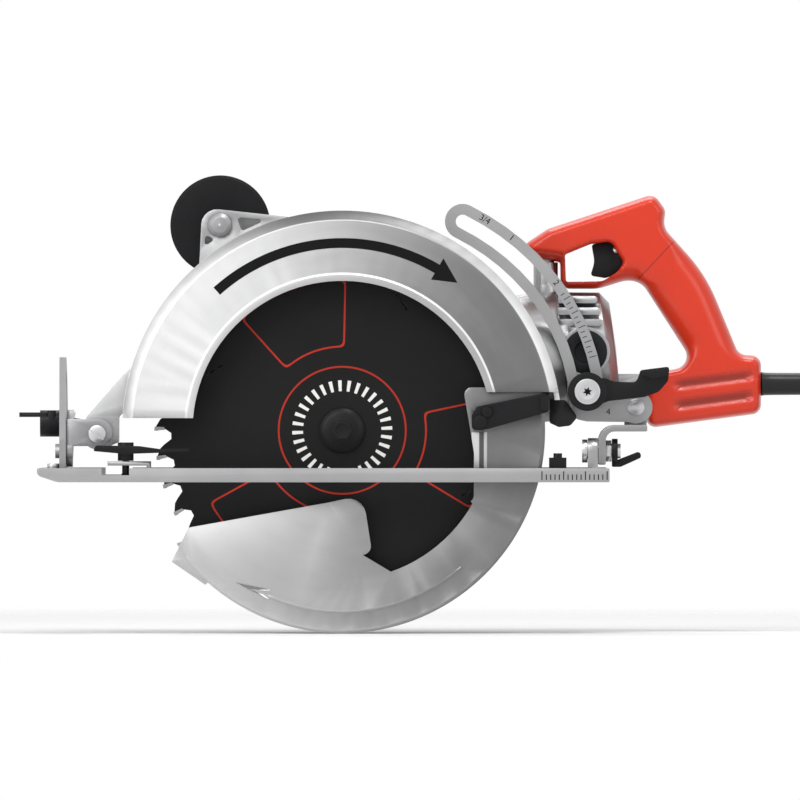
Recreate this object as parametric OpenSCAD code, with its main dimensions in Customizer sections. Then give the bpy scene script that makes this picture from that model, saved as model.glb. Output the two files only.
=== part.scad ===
// Worm drive circular saw with a 10-1/4 inch blade, shown at full depth and square.
// X runs to the rear, Y to the motor side, Z up. The origin is on the sole, under
// the arbor, in the motor's upright plane. Millimetres.

/* [Blade and guards] */
// Radius of the blade over its teeth
blade_r = 130; // [126:1:132]
// Number of teeth
blade_teeth = 40; // [24:1:60]
// Thickness of the blade plate
blade_t = 2; // [1.6:0.1:2.6]
// Height of the arbor over the sole at full depth
arbor_z = 35.8; // [34:0.2:38]
// Distance from the motor's plane to the blade's plane
blade_offset = 72; // [71:0.5:75]
// Outside radius of the fixed upper guard
upper_guard_r = 152; // [151:0.5:153]
// Radius of the round window in the upper guard
guard_window_r = 103.4; // [100:0.2:105]
// Outside radius of the swinging lower guard
lower_guard_r = 140.4; // [138:0.2:142]
// Wall thickness of the guards
guard_wall = 3.5; // [3:0.1:3.9]

/* [Foot] */
// Length of the foot in front of the arbor
foot_front = 210.7; // [208:0.5:216]
// Length of the foot behind the arbor
foot_rear = 184.7; // [183:0.5:186]
// Width of the foot on the blade side of the blade
foot_near = 38; // [37:0.5:42]
// Width of the foot on the motor side of the blade
foot_far = 130; // [122:1:140]
// Thickness of the foot's plate
foot_t = 4; // [3.5:0.1:4.5]
// Height of the foot's rails
rail_h = 9.7; // [8.5:0.1:10.5]

/* [Motor and worm drive] */
// Slope of the motor's axis, rising to the rear, in degrees
motor_tilt = 7; // [6.6:0.1:7.2]
// Distance between the worm's axis and the arbor
worm_distance = 33.4; // [33.4:0.1:33.8]
// Outside radius of the motor's housing
motor_r = 45; // [44:0.5:45]
// Radius of the spindle where it runs in its bearing
spindle_r = 10; // [9:0.5:11]
// Radius of the motor's shaft in its rear bearing
shaft_r = 5; // [4:0.5:6]

/* [Depth and bevel] */
// Distance from the arbor forward to the depth hinge
depth_hinge_x = 169.4; // [168:0.5:171]
// Radius of the depth hinge's screw
depth_screw_r = 4.5; // [4:0.5:5]
// Greatest swing of the depth hinge, in degrees
depth_swing = 26; // [20:0.5:27]
// Greatest bevel, in degrees
bevel_swing = 51; // [45:1:51]
// Radius of the bevel lock's slot about the bevel axis
bevel_slot_r = 54; // [52:0.5:56]
// Radius of the bolts that lock the depth and the bevel
lock_bolt_r = 4; // [3.5:0.5:4.5]
// Width of the slotted depth link
link_w = 24.5; // [23:0.5:26]

/* [Handles and cord] */
// Width of the rear handle
handle_w = 38; // [34:1:42]
// Radius of the front grip
front_grip_r = 18; // [16:0.5:20]
// Radius of the front grip's flange
front_flange_r = 34.7; // [30:0.5:38]
// Length of the front grip behind its flange
front_grip_len = 100; // [90:1:105]
// Diameter of the supply cord
cord_d = 10; // [9:0.5:10]

/* [Hidden] */
$fn = 64;

// Clearance between pieces that move past each other
gap = 0.3;
// Clearance round a shaft or screw in its hole
fit = 0.05;
// Overrun of a cut past a face
over = 1;

// Colours
cast_grey = [0.72, 0.72, 0.73];
steel_grey = [0.62, 0.63, 0.65];
dark_grey = [0.12, 0.12, 0.13];
black = [0.05, 0.05, 0.05];
saw_red = [0.80, 0.14, 0.07];
brass = [0.72, 0.55, 0.25];
copper = [0.70, 0.40, 0.25];

// A plane at distance u behind the blade, on the motor's side where positive
function at(u) = u - blade_offset;

// Points of an arc about c, from angle a0 to a1 in n steps
function arc(c, r, a0, a1, n) =
    [for (i = [0 : n]) c + r * [cos(a0 + (a1 - a0) * i / n), sin(a0 + (a1 - a0) * i / n)]];

// A corner at b between a and c, rounded with radius r in n steps
function corner(a, b, c, r, n) =
    let (u = (a - b) / norm(a - b), v = (c - b) / norm(c - b),
         half = acos(max(-1, min(1, u * v))) / 2)
    r < 0.01 || half > 89.5 ? [for (i = [0 : n]) b]
    : let (m = b + (u + v) / norm(u + v) * r / sin(half),
           p = b + u * r / tan(half) - m, q = b + v * r / tan(half) - m,
           a0 = atan2(p[1], p[0]), turn = atan2(p[0] * q[1] - p[1] * q[0], p * q))
      arc(m, r, a0, a0 + turn, n);

// An outline of [x, y, radius] corners, each rounded in n steps
function rounded(path, n = 5) =
    let (m = len(path))
    [for (i = [0 : m - 1])
        let (a = path[(i + m - 1) % m], b = path[i], c = path[(i + 1) % m])
        each corner([a[0], a[1]], [b[0], b[1]], [c[0], c[1]], b[2], n)];

// The clockwise outline drawn in by d, with its corner radii drawn in to match
function drawn_in(path, d) =
    let (m = len(path))
    [for (i = [0 : m - 1])
        let (a = path[(i + m - 1) % m], b = path[i], c = path[(i + 1) % m],
             e = [b[0] - a[0], b[1] - a[1]] / norm([b[0] - a[0], b[1] - a[1]]),
             f = [c[0] - b[0], c[1] - b[1]] / norm([c[0] - b[0], c[1] - b[1]]),
             ne = [e[1], -e[0]], nf = [f[1], -f[0]],
             move = (ne + nf) * d / (1 + ne * nf),
             outward = e[0] * f[1] - e[1] * f[0] < 0)
        [b[0] + move[0], b[1] + move[1], max(0.5, outward ? b[2] - d : b[2] + d)]];

// A clockwise outline cut into triangles, one ear at a time
function turn_of(a, b, c) = (b[0] - a[0]) * (c[1] - a[1]) - (b[1] - a[1]) * (c[0] - a[0]);
function is_ear(p, ids, i) =
    let (n = len(ids), a = p[ids[(i + n - 1) % n]], b = p[ids[i]], c = p[ids[(i + 1) % n]])
    turn_of(a, b, c) < -0.0001 && len([for (k = ids) let (q = p[k])
        if (q != a && q != b && q != c && turn_of(a, b, q) <= 0 && turn_of(b, c, q) <= 0 && turn_of(c, a, q) <= 0)
            k]) == 0;
function first_ear(p, ids, i = 0) = i >= len(ids) - 1 || is_ear(p, ids, i) ? i : first_ear(p, ids, i + 1);
function ears(p, ids) = len(ids) < 4 ? [ids]
    : let (n = len(ids), i = first_ear(p, ids))
      concat([[ids[(i + n - 1) % n], ids[i], ids[(i + 1) % n]]], ears(p, [for (k = [0 : n - 1]) if (k != i) ids[k]]));

// A point turned by a degrees about the origin
function turned(p, a) = [p[0] * cos(a) - p[1] * sin(a), p[0] * sin(a) + p[1] * cos(a)];

// Round bars along each axis, and a block, each from its first face to its last
module rod_x(y, z, x0, x1, r) translate([x0, y, z]) rotate([0, 90, 0]) cylinder(h = x1 - x0, r = r);
module rod_y(x, z, y0, y1, r) translate([x, y1, z]) rotate([90, 0, 0]) cylinder(h = y1 - y0, r = r);
module rod_z(x, y, z0, z1, r) translate([x, y, z0]) cylinder(h = z1 - z0, r = r);
module block(x0, x1, y0, y1, z0, z1) translate([x0, y0, z0]) cube([x1 - x0, y1 - y0, z1 - z0]);

// A plate of a side-view outline, from y0 to y1
module slab(y0, y1) translate([0, y1, 0]) rotate([90, 0, 0]) linear_extrude(y1 - y0) children();
// A plate of an end-view outline of Y and Z, from x0 to x1
module end_plate(x0, x1) translate([x0, 0, 0]) rotate([90, 0, 90]) linear_extrude(x1 - x0) children();
// A body of revolution about the arbor, of radius and distance in front of the blade
module about_arbor(a0 = 0, a1 = 360) translate([0, at(0), arbor_z]) rotate([90, 0, 0])
    rotate([0, 0, a0]) rotate_extrude(angle = a1 - a0, $fn = 128) children();
// Six-sided head along X or Y
module hex_y(x, z, y0, y1, r) translate([x, y1, z]) rotate([90, 0, 0]) cylinder(h = y1 - y0, r = r, $fn = 6);
module hex_x(y, z, x0, x1, r) translate([x0, y, z]) rotate([0, 90, 0]) cylinder(h = x1 - x0, r = r, $fn = 6);

// Foot
near_edge = at(-foot_near);
far_edge = at(foot_far);
rail_t = 5;
// Opening for the blade and guards, wide enough for the greatest bevel
slot_x = [-150, 155];
slot_y = [at(-20), at(60)];
nose_r = 14;
foot_end_r = 1;
// Bevel axis, along X
bevel_y = at(-10);
bevel_z = 21.5;
trunnion_r = 5;
ear_x = [170, 177];
ear_r = 9;
// Notch for a rip fence bar across both rails
fence_x = [-166, -147];
fence_floor = 4.8;

module foot_outline(top) polygon(rounded([
    [-foot_front, rail_h, 1], [-foot_front, rail_h - 5, 4], [-foot_front + nose_r, 0, nose_r],
    [foot_rear, 0, foot_end_r], [foot_rear, top, foot_end_r],
    [-foot_front + nose_r + 4, top, 6], [-foot_front + 5, rail_h, 1]]));

module foot_plate() color(cast_grey) difference() {
    union() {
        slab(near_edge, far_edge) foot_outline(foot_t);
        slab(near_edge, near_edge + rail_t) foot_outline(rail_h);
        slab(far_edge - rail_t, far_edge) foot_outline(rail_h);
        // Ribs round the opening, and the ear of the rear bevel hinge
        block(slot_x[0] - 4, slot_x[1] + 4, slot_y[1], slot_y[1] + 3, foot_t - over, rail_h - 4);
        block(slot_x[1] + 1, slot_x[1] + 4, slot_y[0], slot_y[1] + 3, foot_t - over, rail_h - 4);
        end_plate(ear_x[0], ear_x[1]) union() {
            translate([bevel_y, bevel_z]) circle(r = ear_r);
            translate([bevel_y - ear_r, foot_t / 2]) square([2 * ear_r, bevel_z - foot_t / 2]);
        }
    }
    block(slot_x[0], slot_x[1], slot_y[0], slot_y[1], -over, foot_t + over);
    // Seat of the bevel quadrant behind the raised nose
    block(quadrant_base_x[0] - gap, quadrant_base_x[1] + gap, quadrant_base_y[0] - gap,
        quadrant_base_y[1] + gap, foot_t, rail_h + over);
    block(fence_x[0], fence_x[1], near_edge - over, near_edge + rail_t + over, fence_floor, rail_h + over);
    block(fence_x[0], fence_x[1], far_edge - rail_t - over, far_edge + over, fence_floor, rail_h + over);
    rod_x(bevel_y, bevel_z, ear_x[0] - over, ear_x[1] + over, trunnion_r + fit);
    for (p = foot_screw_at) rod_z(p[0], p[1], foot_t - 3, foot_t + over, foot_screw_r + fit);
    rod_z(fence_stud[0], fence_stud[1], foot_t - 3, foot_t + over, fence_stud_r + fit);
}

// Bevel quadrant at the front, with the slot that the lock bolt rides in
quadrant_x = [-195.5, -191];
quadrant_r = 65;
quadrant_base_y = [bevel_y - 14, bevel_y + 64];
quadrant_base_x = [-204, -191];
quadrant_base_t = 5.7;
bolt_rest = 20.6;
bevel_bolt_y = bevel_y + bevel_slot_r * cos(bolt_rest);
bevel_bolt_z = bevel_z + bevel_slot_r * sin(bolt_rest);
slot_gap = 0.4;

foot_screw_r = 2.5;
foot_screw_at = [[-199.8, bevel_y - 8], [-199.8, bevel_y + 25], [-199.8, bevel_y + 58]];

module bevel_quadrant() color(cast_grey) difference() {
    union() {
        end_plate(quadrant_x[0], quadrant_x[1]) intersection() {
            translate([bevel_y, bevel_z]) circle(r = quadrant_r);
            polygon(rounded([[bevel_y - 14, foot_t, 0], [bevel_y - 14, bevel_z + 8, 6],
                [bevel_y - 6, bevel_z + quadrant_r + 9, 4], [bevel_y + 50, bevel_z + quadrant_r, 4],
                [bevel_y + 64, bevel_z + 8, 4], [bevel_y + 64, foot_t, 0]]));
        }
        block(quadrant_base_x[0], quadrant_base_x[1], quadrant_base_y[0], quadrant_base_y[1],
            foot_t, foot_t + quadrant_base_t);
    }
    translate([quadrant_x[0] - over, bevel_y, bevel_z]) rotate([90, 0, 90]) {
        rotate([0, 0, bolt_rest]) rotate_extrude(angle = bevel_swing)
            translate([bevel_slot_r - lock_bolt_r - slot_gap, 0])
                square([2 * (lock_bolt_r + slot_gap), quadrant_x[1] - quadrant_x[0] + 2 * over]);
        for (a = [bolt_rest, bolt_rest + bevel_swing])
            translate(bevel_slot_r * [cos(a), sin(a), 0])
                cylinder(h = quadrant_x[1] - quadrant_x[0] + 2 * over, r = lock_bolt_r + slot_gap);
    }
    rod_x(bevel_y, bevel_z, quadrant_x[0] - over, quadrant_x[1] + over, trunnion_r + fit);
    for (p = foot_screw_at)
        rod_z(p[0], p[1], foot_t - over, foot_t + quadrant_base_t + over, foot_screw_r + fit);
}

module foot_screws() color(steel_grey) for (p = foot_screw_at) difference() {
    union() {
        rod_z(p[0], p[1], foot_t - 2.5, foot_t + quadrant_base_t, foot_screw_r);
        rod_z(p[0], p[1], foot_t + quadrant_base_t, foot_t + quadrant_base_t + 3, 4.2);
    }
    translate([p[0], p[1], foot_t + quadrant_base_t + 1.2]) cylinder(h = 3, r = 2.2, $fn = 6);
}

// Rip fence clamp on the near strip: a bent plate under a screw lever
fence_stud = [-149.5, at(-28)];
fence_stud_r = 2.5;
clamp_z = [11.5, 14.5];
lever_z = [20.5, 25.5];
clamp_w = 4.8;

module fence_clamp() color(steel_grey) difference() {
    union() {
        block(-162, -132, fence_stud[1] - clamp_w, fence_stud[1] + clamp_w, clamp_z[0], clamp_z[1]);
        block(-135, -132, fence_stud[1] - clamp_w, fence_stud[1] + clamp_w, foot_t, clamp_z[0]);
    }
    rod_z(fence_stud[0], fence_stud[1], clamp_z[0] - over, clamp_z[1] + over, fence_stud_r + fit);
}

module fence_lever() color(black) {
    rod_z(fence_stud[0], fence_stud[1], foot_t - 2, clamp_z[1] + gap, fence_stud_r);
    rod_z(fence_stud[0], fence_stud[1], clamp_z[1] + gap, lever_z[1] + 2, 5.5);
    slab(fence_stud[1] - 9.8, fence_stud[1] - 4.2) polygon(rounded([
        [-172, lever_z[0] + 1, 1], [-170, lever_z[1], 1.5], [-140, lever_z[1] - 0.5, 2],
        [-126, lever_z[0] + 2.5, 3], [-106, lever_z[0] + 2.7, 0.8], [-104, lever_z[0] + 1, 0.8],
        [-126, lever_z[0] - 0.2, 2], [-150, lever_z[0] - 1, 1]]));
}

// Bevel stop on the near strip behind the guard
stop_x = [143, 155];
stop_y = [near_edge + 8, near_edge + 17];

module bevel_stop() color(dark_grey) {
    block(stop_x[0], stop_x[1], stop_y[0], stop_y[1], foot_t, 17);
    rod_z((stop_x[0] + stop_x[1]) / 2, (stop_y[0] + stop_y[1]) / 2, 17, 20, 3);
}

// Front carriage, which tilts on the quadrant and carries the depth hinge
hinge_x = -depth_hinge_x;
hinge_z = 33.4;
cheek_z = [24.9, 43.6];
cheek_u = [14, 20];
carriage_x = [quadrant_x[1] + gap, -186.4];
cheek_end = -158.8;

module front_carriage() color(cast_grey) difference() {
    union() {
        end_plate(carriage_x[0], carriage_x[1]) union() {
            translate([bevel_y, bevel_z]) circle(r = 11);
            translate([bevel_bolt_y, bevel_bolt_z]) circle(r = 9.5);
            polygon([[bevel_y, bevel_z - 11], [bevel_bolt_y + 3, bevel_bolt_z - 9],
                [bevel_bolt_y - 3, bevel_bolt_z + 9], [at(cheek_u[1]), cheek_z[1]],
                [at(-cheek_u[1]), cheek_z[1]], [at(-cheek_u[1]), cheek_z[0]]]);
        }
        for (s = [-1, 1]) slab(at(min(s * cheek_u[0], s * cheek_u[1])), at(max(s * cheek_u[0], s * cheek_u[1])))
            polygon(rounded([[carriage_x[0], cheek_z[0], 0.5], [carriage_x[0], cheek_z[1], 0.5],
                [cheek_end, cheek_z[1], 9.3], [cheek_end, cheek_z[0], 9.3]]));
        rod_x(bevel_y, bevel_z, quadrant_x[0] - 3, carriage_x[0] + over, trunnion_r);
    }
    rod_y(hinge_x, hinge_z, at(-cheek_u[1]) - over, at(cheek_u[1]) + over, depth_screw_r + fit);
    rod_x(bevel_bolt_y, bevel_bolt_z, carriage_x[0] - over, carriage_x[1] + over, lock_bolt_r + fit);
}

lever_hub_x = [-210, quadrant_x[0] - gap];
bevel_bolt_head = 4;

module bevel_bolt() color(steel_grey) {
    rod_x(bevel_bolt_y, bevel_bolt_z, lever_hub_x[0] + 3, carriage_x[1], lock_bolt_r);
    hex_x(bevel_bolt_y, bevel_bolt_z, carriage_x[1], carriage_x[1] + bevel_bolt_head, 7.5);
}

module bevel_lever() color(black) difference() {
    union() {
        rod_x(bevel_bolt_y, bevel_bolt_z, lever_hub_x[0], lever_hub_x[1], 9.2);
        translate([0, 0, bevel_bolt_z]) linear_extrude(9) polygon(rounded([
            [-205, bevel_bolt_y - 9, 2], [-205, bevel_bolt_y + 9, 2],
            [-199, bevel_bolt_y + 9, 2], [-199, bevel_bolt_y - 9, 2]]));
        translate([0, 0, bevel_bolt_z + 4.5]) linear_extrude(3.2) polygon(rounded([
            [-224.5, bevel_bolt_y - 6, 3], [-224.5, bevel_bolt_y + 20, 5],
            [-203, bevel_bolt_y + 12, 4], [-203, bevel_bolt_y - 8, 3]]));
    }
    rod_x(bevel_bolt_y, bevel_bolt_z, lever_hub_x[0] + 2.9, lever_hub_x[1] + over, lock_bolt_r + fit);
}

module depth_pivot_screw() color(steel_grey) difference() {
    union() {
        rod_y(hinge_x, hinge_z, at(-cheek_u[1]), at(cheek_u[1]) + 5, depth_screw_r);
        rod_y(hinge_x, hinge_z, at(-cheek_u[1]) - 2.5, at(-cheek_u[1]), depth_screw_r + 1.4);
        hex_y(hinge_x, hinge_z, at(cheek_u[1]), at(cheek_u[1]) + 4, depth_screw_r + 3);
    }
    translate([hinge_x, at(-cheek_u[1]) - 2.5, hinge_z]) rotate([0, 35, 0]) cube([20, 2.4, 1.6], center = true);
}

// Rear bevel bracket: a bent strap on the foot's ear that carries the depth link's pin
strap_x = [ear_x[1] + gap, ear_x[1] + gap + 5];
strap_top = [35, 39.5];
strap_end = 211;
pin_x = 203.7;
pin_z = 51.9;
link_u = [23.3, 26.3];
tab_u = [link_u[1] + gap, link_u[1] + gap + 4.2];
strap_y = [at(-20), at(tab_u[1])];
link_pin_r = 4;
bolt_head_t = 4;

module rear_bracket() color(steel_grey) difference() {
    union() {
        slab(strap_y[0], strap_y[1]) polygon(rounded([
            [strap_x[0], bevel_z - 9.5, 1], [strap_x[0], strap_top[1], 11], [strap_end, strap_top[1], 1],
            [strap_end, strap_top[0], 1], [strap_x[1], strap_top[0], 6], [strap_x[1], bevel_z - 9.5, 1]]));
        slab(at(tab_u[0]), at(tab_u[1])) union() {
            translate([pin_x, pin_z]) circle(r = 8);
            polygon([[pin_x - 8, strap_top[0] + 1], [pin_x - 8, pin_z], [pin_x + 8, pin_z],
                [strap_end, strap_top[0] + 1]]);
        }
    }
    rod_x(bevel_y, bevel_z, strap_x[0] - over, strap_x[1] + over, trunnion_r + fit);
    rod_y(pin_x, pin_z, at(tab_u[0]) - over, at(tab_u[1]) + over, link_pin_r + fit);
}

rear_lever_x = [strap_x[1] + bolt_head_t + gap, strap_x[1] + bolt_head_t + gap + 4];

module rear_hinge_bolt() color(steel_grey) {
    rod_x(bevel_y, bevel_z, ear_x[0] - bolt_head_t, rear_lever_x[1] + 2, trunnion_r);
    rod_x(bevel_y, bevel_z, ear_x[0] - bolt_head_t, ear_x[0] - gap, 8);
    hex_x(bevel_y, bevel_z, strap_x[1], strap_x[1] + bolt_head_t, 7.4);
}

module rear_bevel_lever() color(black) {
    difference() {
        rod_x(bevel_y, bevel_z, rear_lever_x[0], rear_lever_x[1], 8.5);
        rod_x(bevel_y, bevel_z, rear_lever_x[0] - over, rear_lever_x[1] + over, trunnion_r + fit);
    }
    slab(bevel_y - 2.75, bevel_y + 2.75) polygon(rounded([
        [rear_lever_x[0], 10.5, 1], [rear_lever_x[0], 15.5, 0.5], [rear_lever_x[1], 15.5, 3],
        [206, 21.5, 2], [207, 17, 2], [rear_lever_x[1] + 2, 10.5, 4]]));
}

module link_pin() color(steel_grey) {
    rod_y(pin_x, pin_z, at(link_u[0]) - 4, at(tab_u[1]) + 2.5, link_pin_r);
    rod_y(pin_x, pin_z, at(link_u[0]) - gap - 1.7, at(link_u[0]) - gap, link_pin_r + 1.8);
    rod_y(pin_x, pin_z, at(tab_u[1]), at(tab_u[1]) + 2.5, link_pin_r + 2.5);
}

// Depth link. Its slot follows the clamp bolt as the saw swings on the depth hinge,
// while the link itself turns the other way by a fixed share of that swing.
bolt_x = 169.6;
bolt_z = 62.6;
link_share = 0.6;
slot_half = lock_bolt_r + 0.75;
link_steps = 12;
pin_at = [pin_x, pin_z];
hinge_at = [hinge_x, hinge_z];
function slot_point(a) =
    pin_at + turned(hinge_at + turned([bolt_x, bolt_z] - hinge_at, a) - pin_at, link_share * a);
function slot_side(a) =
    let (d = slot_point(a + 0.5) - slot_point(a - 0.5)) [d[1], -d[0]] / norm(d);
// The band of half width h along the slot
function slot_band(h) = concat(
    [for (i = [0 : link_steps]) let (a = depth_swing * i / link_steps) slot_point(a) + h * slot_side(a)],
    [for (i = [link_steps : -1 : 0]) let (a = depth_swing * i / link_steps) slot_point(a) - h * slot_side(a)]);

module depth_link() color(cast_grey) slab(at(link_u[0]), at(link_u[1])) difference() {
    union() {
        polygon(slot_band(link_w / 2));
        for (a = [0, depth_swing]) translate(slot_point(a)) circle(r = link_w / 2);
        translate(pin_at) circle(r = 11.5);
        polygon(rounded([[bolt_x - 11.5, bolt_z - 4, 2], [bolt_x - 9, pin_z - 8, 5], [bolt_x, pin_z - 10, 5],
            [pin_x, pin_z - 10.5, 3], [pin_x + 9, pin_z + 4, 4], [bolt_x + 11, bolt_z + 4, 4]]));
    }
    polygon(slot_band(slot_half));
    for (a = [0, depth_swing]) translate(slot_point(a)) circle(r = slot_half);
    translate(pin_at) circle(r = link_pin_r + fit);
}

depth_lever_u = [-18, link_u[0] - gap];
depth_lever_t = [-14, -6];
lever_screw_u = -22;
boss_face = link_u[1] + gap;

module depth_lever() color(black) difference() {
    union() {
        rod_y(bolt_x, bolt_z, at(depth_lever_u[0]), at(depth_lever_t[1]) + 2, 13.4);
        rod_y(bolt_x, bolt_z, at(depth_lever_t[1]), at(depth_lever_u[1]), 11);
        slab(at(depth_lever_t[0]), at(depth_lever_t[1])) polygon(rounded([
            [bolt_x + 8, bolt_z + 10.5, 3], [188.5, 69.5, 8], [203.5, 69, 4], [206.5, 77.5, 2],
            [226.5, 80, 2], [225.5, 70, 5], [219, 62.5, 6], [209.3, 58.9, 6], [183.7, 56, 6],
            [bolt_x + 6, bolt_z - 11.5, 4]]));
        slab(at(-19), at(-3.8)) polygon(rounded([
            [207, 74, 1], [208, 77.4, 1], [226, 79.8, 1], [225.4, 74, 2], [216, 71.5, 3]]));
    }
    rod_y(bolt_x, bolt_z, at(depth_lever_u[0]) - over, at(depth_lever_u[1]) + over, lock_bolt_r + fit);
}

module depth_lever_screw() color(steel_grey) difference() {
    union() {
        hex_y(bolt_x, bolt_z, at(lever_screw_u), at(depth_lever_u[0]), 7.3);
        rod_y(bolt_x, bolt_z, at(depth_lever_u[0]) - 1.2, at(depth_lever_u[0]), 8.8);
    }
    rod_y(bolt_x, bolt_z, at(lever_screw_u) - over, at(lever_screw_u) + 1, 4.5);
}

module depth_bolt() color(steel_grey) {
    rod_y(bolt_x, bolt_z, at(depth_lever_u[0]) + gap, at(boss_face) + 12, lock_bolt_r);
}

// Upper guard: a channel bent round the blade, its back wall bolted to the gear housing
ring_u = [-20, -20 - guard_wall];
back_u = [23 - guard_wall, 23];
rim_in = upper_guard_r - guard_wall;
nose_out_r = 26;
hub_pad_r = 45;
floor_clear = 8.5;
left_end = 44.3;
right_end = 62.3;
rim_end = 56.8;
web_u = cheek_u[0] - gap;
grip_x = -84.7;
grip_z = 178;
grip_bolt_r = 6;
lug_u = [-8, 23];
guard_screw_r = 2.5;
guard_screw_at = [for (a = [35, 90, 145]) [38 * cos(a), arbor_z + 38 * sin(a)]];

module guard_channel() about_arbor(-8, 188) polygon([
    [guard_window_r, -ring_u[0]], [guard_window_r, -ring_u[1] + 0.8], [guard_window_r + 4.5, -ring_u[1] + 0.8],
    [guard_window_r + 5.3, -ring_u[1]], [upper_guard_r - 7, -ring_u[1]], [upper_guard_r, -ring_u[1] - 5],
    [upper_guard_r, -back_u[1] + 2], [upper_guard_r - 2, -back_u[1]], [nose_out_r + gap, -back_u[1]],
    [nose_out_r + gap, -back_u[0]], [rim_in, -back_u[0]], [rim_in, -ring_u[0] - 3.5], [rim_in - 4, -ring_u[0]]]);

module front_web() slab(at(-web_u), at(web_u)) difference() {
    union() {
        polygon(rounded([[-120, 100, 0], [-150.8, 74.8, 6], [-177, 45, 6], [-180, 30, 4], [-166, 22.6, 9],
            [-154.5, 27.7, 2], [-154.5, 46, 3], [-140, 53, 0]]));
        translate(hinge_at) circle(r = 10.8);
    }
    translate([0, arbor_z]) circle(r = rim_in - 0.5, $fn = 128);
    translate(hinge_at) circle(r = depth_screw_r + fit);
}

module grip_lug() slab(at(lug_u[0]), at(lug_u[1])) difference() {
    polygon(rounded([[-99.6, 140, 0], [-98.4, 160, 3], [-97, 190, 11], [-36, 183.4, 2], [-36, 175, 0]]));
    translate([0, arbor_z]) circle(r = upper_guard_r - 2, $fn = 128);
    translate([grip_x, grip_z]) circle(r = grip_bolt_r + fit);
}

module upper_guard() color(cast_grey) difference() {
    union() {
        difference() {
            guard_channel();
            block(0, 200, at(-40), at(40), -60, rim_end);
            block(0, 200, at(-40), at(-16), -60, right_end);
            block(-200, 0, at(-40), at(40), -60, left_end);
        }
        intersection() {
            rod_y(0, arbor_z, at(back_u[0]) + 0.4, at(back_u[1]), hub_pad_r);
            block(-60, 60, at(0), at(40), floor_clear, 120);
        }
        front_web();
        grip_lug();
    }
    rod_y(0, arbor_z, at(back_u[0]) - over, at(back_u[1]) + over, nose_out_r + gap);
    // Two pockets that lighten the grip's lug
    slab(at(lug_u[0]) - over, at(lug_u[0]) + 14) {
        polygon(rounded([[-95.5, 163, 1.5], [-94.6, 172, 2], [-88.5, 167.5, 1.5]]));
        polygon(rounded([[-73, 183.4, 2], [-52, 181.6, 1.5], [-69.5, 173.5, 2]]));
    }
    for (p = guard_screw_at) rod_y(p[0], p[1], at(back_u[0]) - over, at(back_u[1]) + over, guard_screw_r + fit);
}

// Lower guard: near plate, rim and far plate, which swing on the gear housing's nose
plate_u = [13, 15.5];
hub_out_r = 36;
lip_x = -118;
lip_z = -55;

module guard_outline() intersection() {
    translate([0, arbor_z]) circle(r = lower_guard_r - 1.2, $fn = 128);
    polygon(concat(
        rounded([[-160, -60, 0], [-118, -57, 0], [-106.3, -31.5, 2], [-9, -14, 40], [14.5, -9, 12],
            [20.8, -50, 6]]),
        arc([0, arbor_z], guard_window_r, -71, -29.4, 12),
        rounded([[91, -12, 4], [91.2, 20, 20], [88, 40, 12], [83.6, 65.5, 5], [160, 65.5, 0], [160, -140, 0],
            [-160, -140, 0]])));
}

module lower_guard() color(cast_grey) difference() {
    union() {
        slab(at(-plate_u[1]), at(-plate_u[0])) guard_outline();
        about_arbor(219, 372) translate([lower_guard_r - 2.5, -plate_u[1] - 0.2])
            square([2.5, 2 * plate_u[1] + 0.4]);
        slab(at(plate_u[0]), at(plate_u[1])) union() {
            translate([0, arbor_z]) circle(r = hub_out_r);
            intersection() {
                translate([0, arbor_z]) circle(r = lower_guard_r - 1.2, $fn = 128);
                polygon([[-107.8, -40], [-30, 15], [20, 65], [83.6, 65.5], [160, 65.5], [160, -140],
                    [-160, -140], [-160, -60]]);
            }
        }
        rod_y(0, arbor_z, at(10), at(plate_u[1]), nose_out_r + 5);
        // Flared lip at the front, and the rib beside the lift lever
        slab(at(-plate_u[1] + 0.3), at(plate_u[1] - 0.3)) polygon(rounded([[-92, -68, 0], [-94.5, -71.2, 1],
            [lip_x, lip_z, 1], [lip_x + 1.5, lip_z + 3, 0.8]]));
        slab(at(-plate_u[1] + 0.2), at(-plate_u[0] - 0.2)) polygon(rounded([[-93, -69, 0], [lip_x, lip_z, 1],
            [-106.3, -31.5, 1], [-90, -40, 0]]));
        block(91.3, 99, at(-plate_u[1]) - 3.2, at(-plate_u[1]) + 0.5, 10, 34);
        // Raised arrow for the blade's turn
        translate([0, at(-plate_u[1]), arbor_z]) rotate([90, 0, 0]) rotate([0, 0, 246])
            rotate_extrude(angle = 65, $fn = 128) translate([124.6, -0.5]) square([1.8, 1.3]);
        slab(at(-plate_u[1]) - 0.8, at(-plate_u[1]) + 0.5) polygon([[-73.6, -69.2], [-50, -74],
            [-50, -75.8], [-66, -73.2], [-50.5, -79.5], [-51.2, -81]]);
    }
    rod_y(0, arbor_z, at(10) - over, at(plate_u[1]) + over, nose_out_r + fit);
    rod_y(lift_x, lift_z, at(-plate_u[1]) - over, at(-plate_u[0]) + over, lift_screw_r + fit);
}

// Lift lever: its standoff passes through the upper guard's window, its arm over the ring
lift_x = 95.4;
lift_z = 41.6;
lift_screw_r = 2.5;
lift_u = [-24.8, -30];
rivet_x = 100.2;
rivet_z = 48.5;

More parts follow.
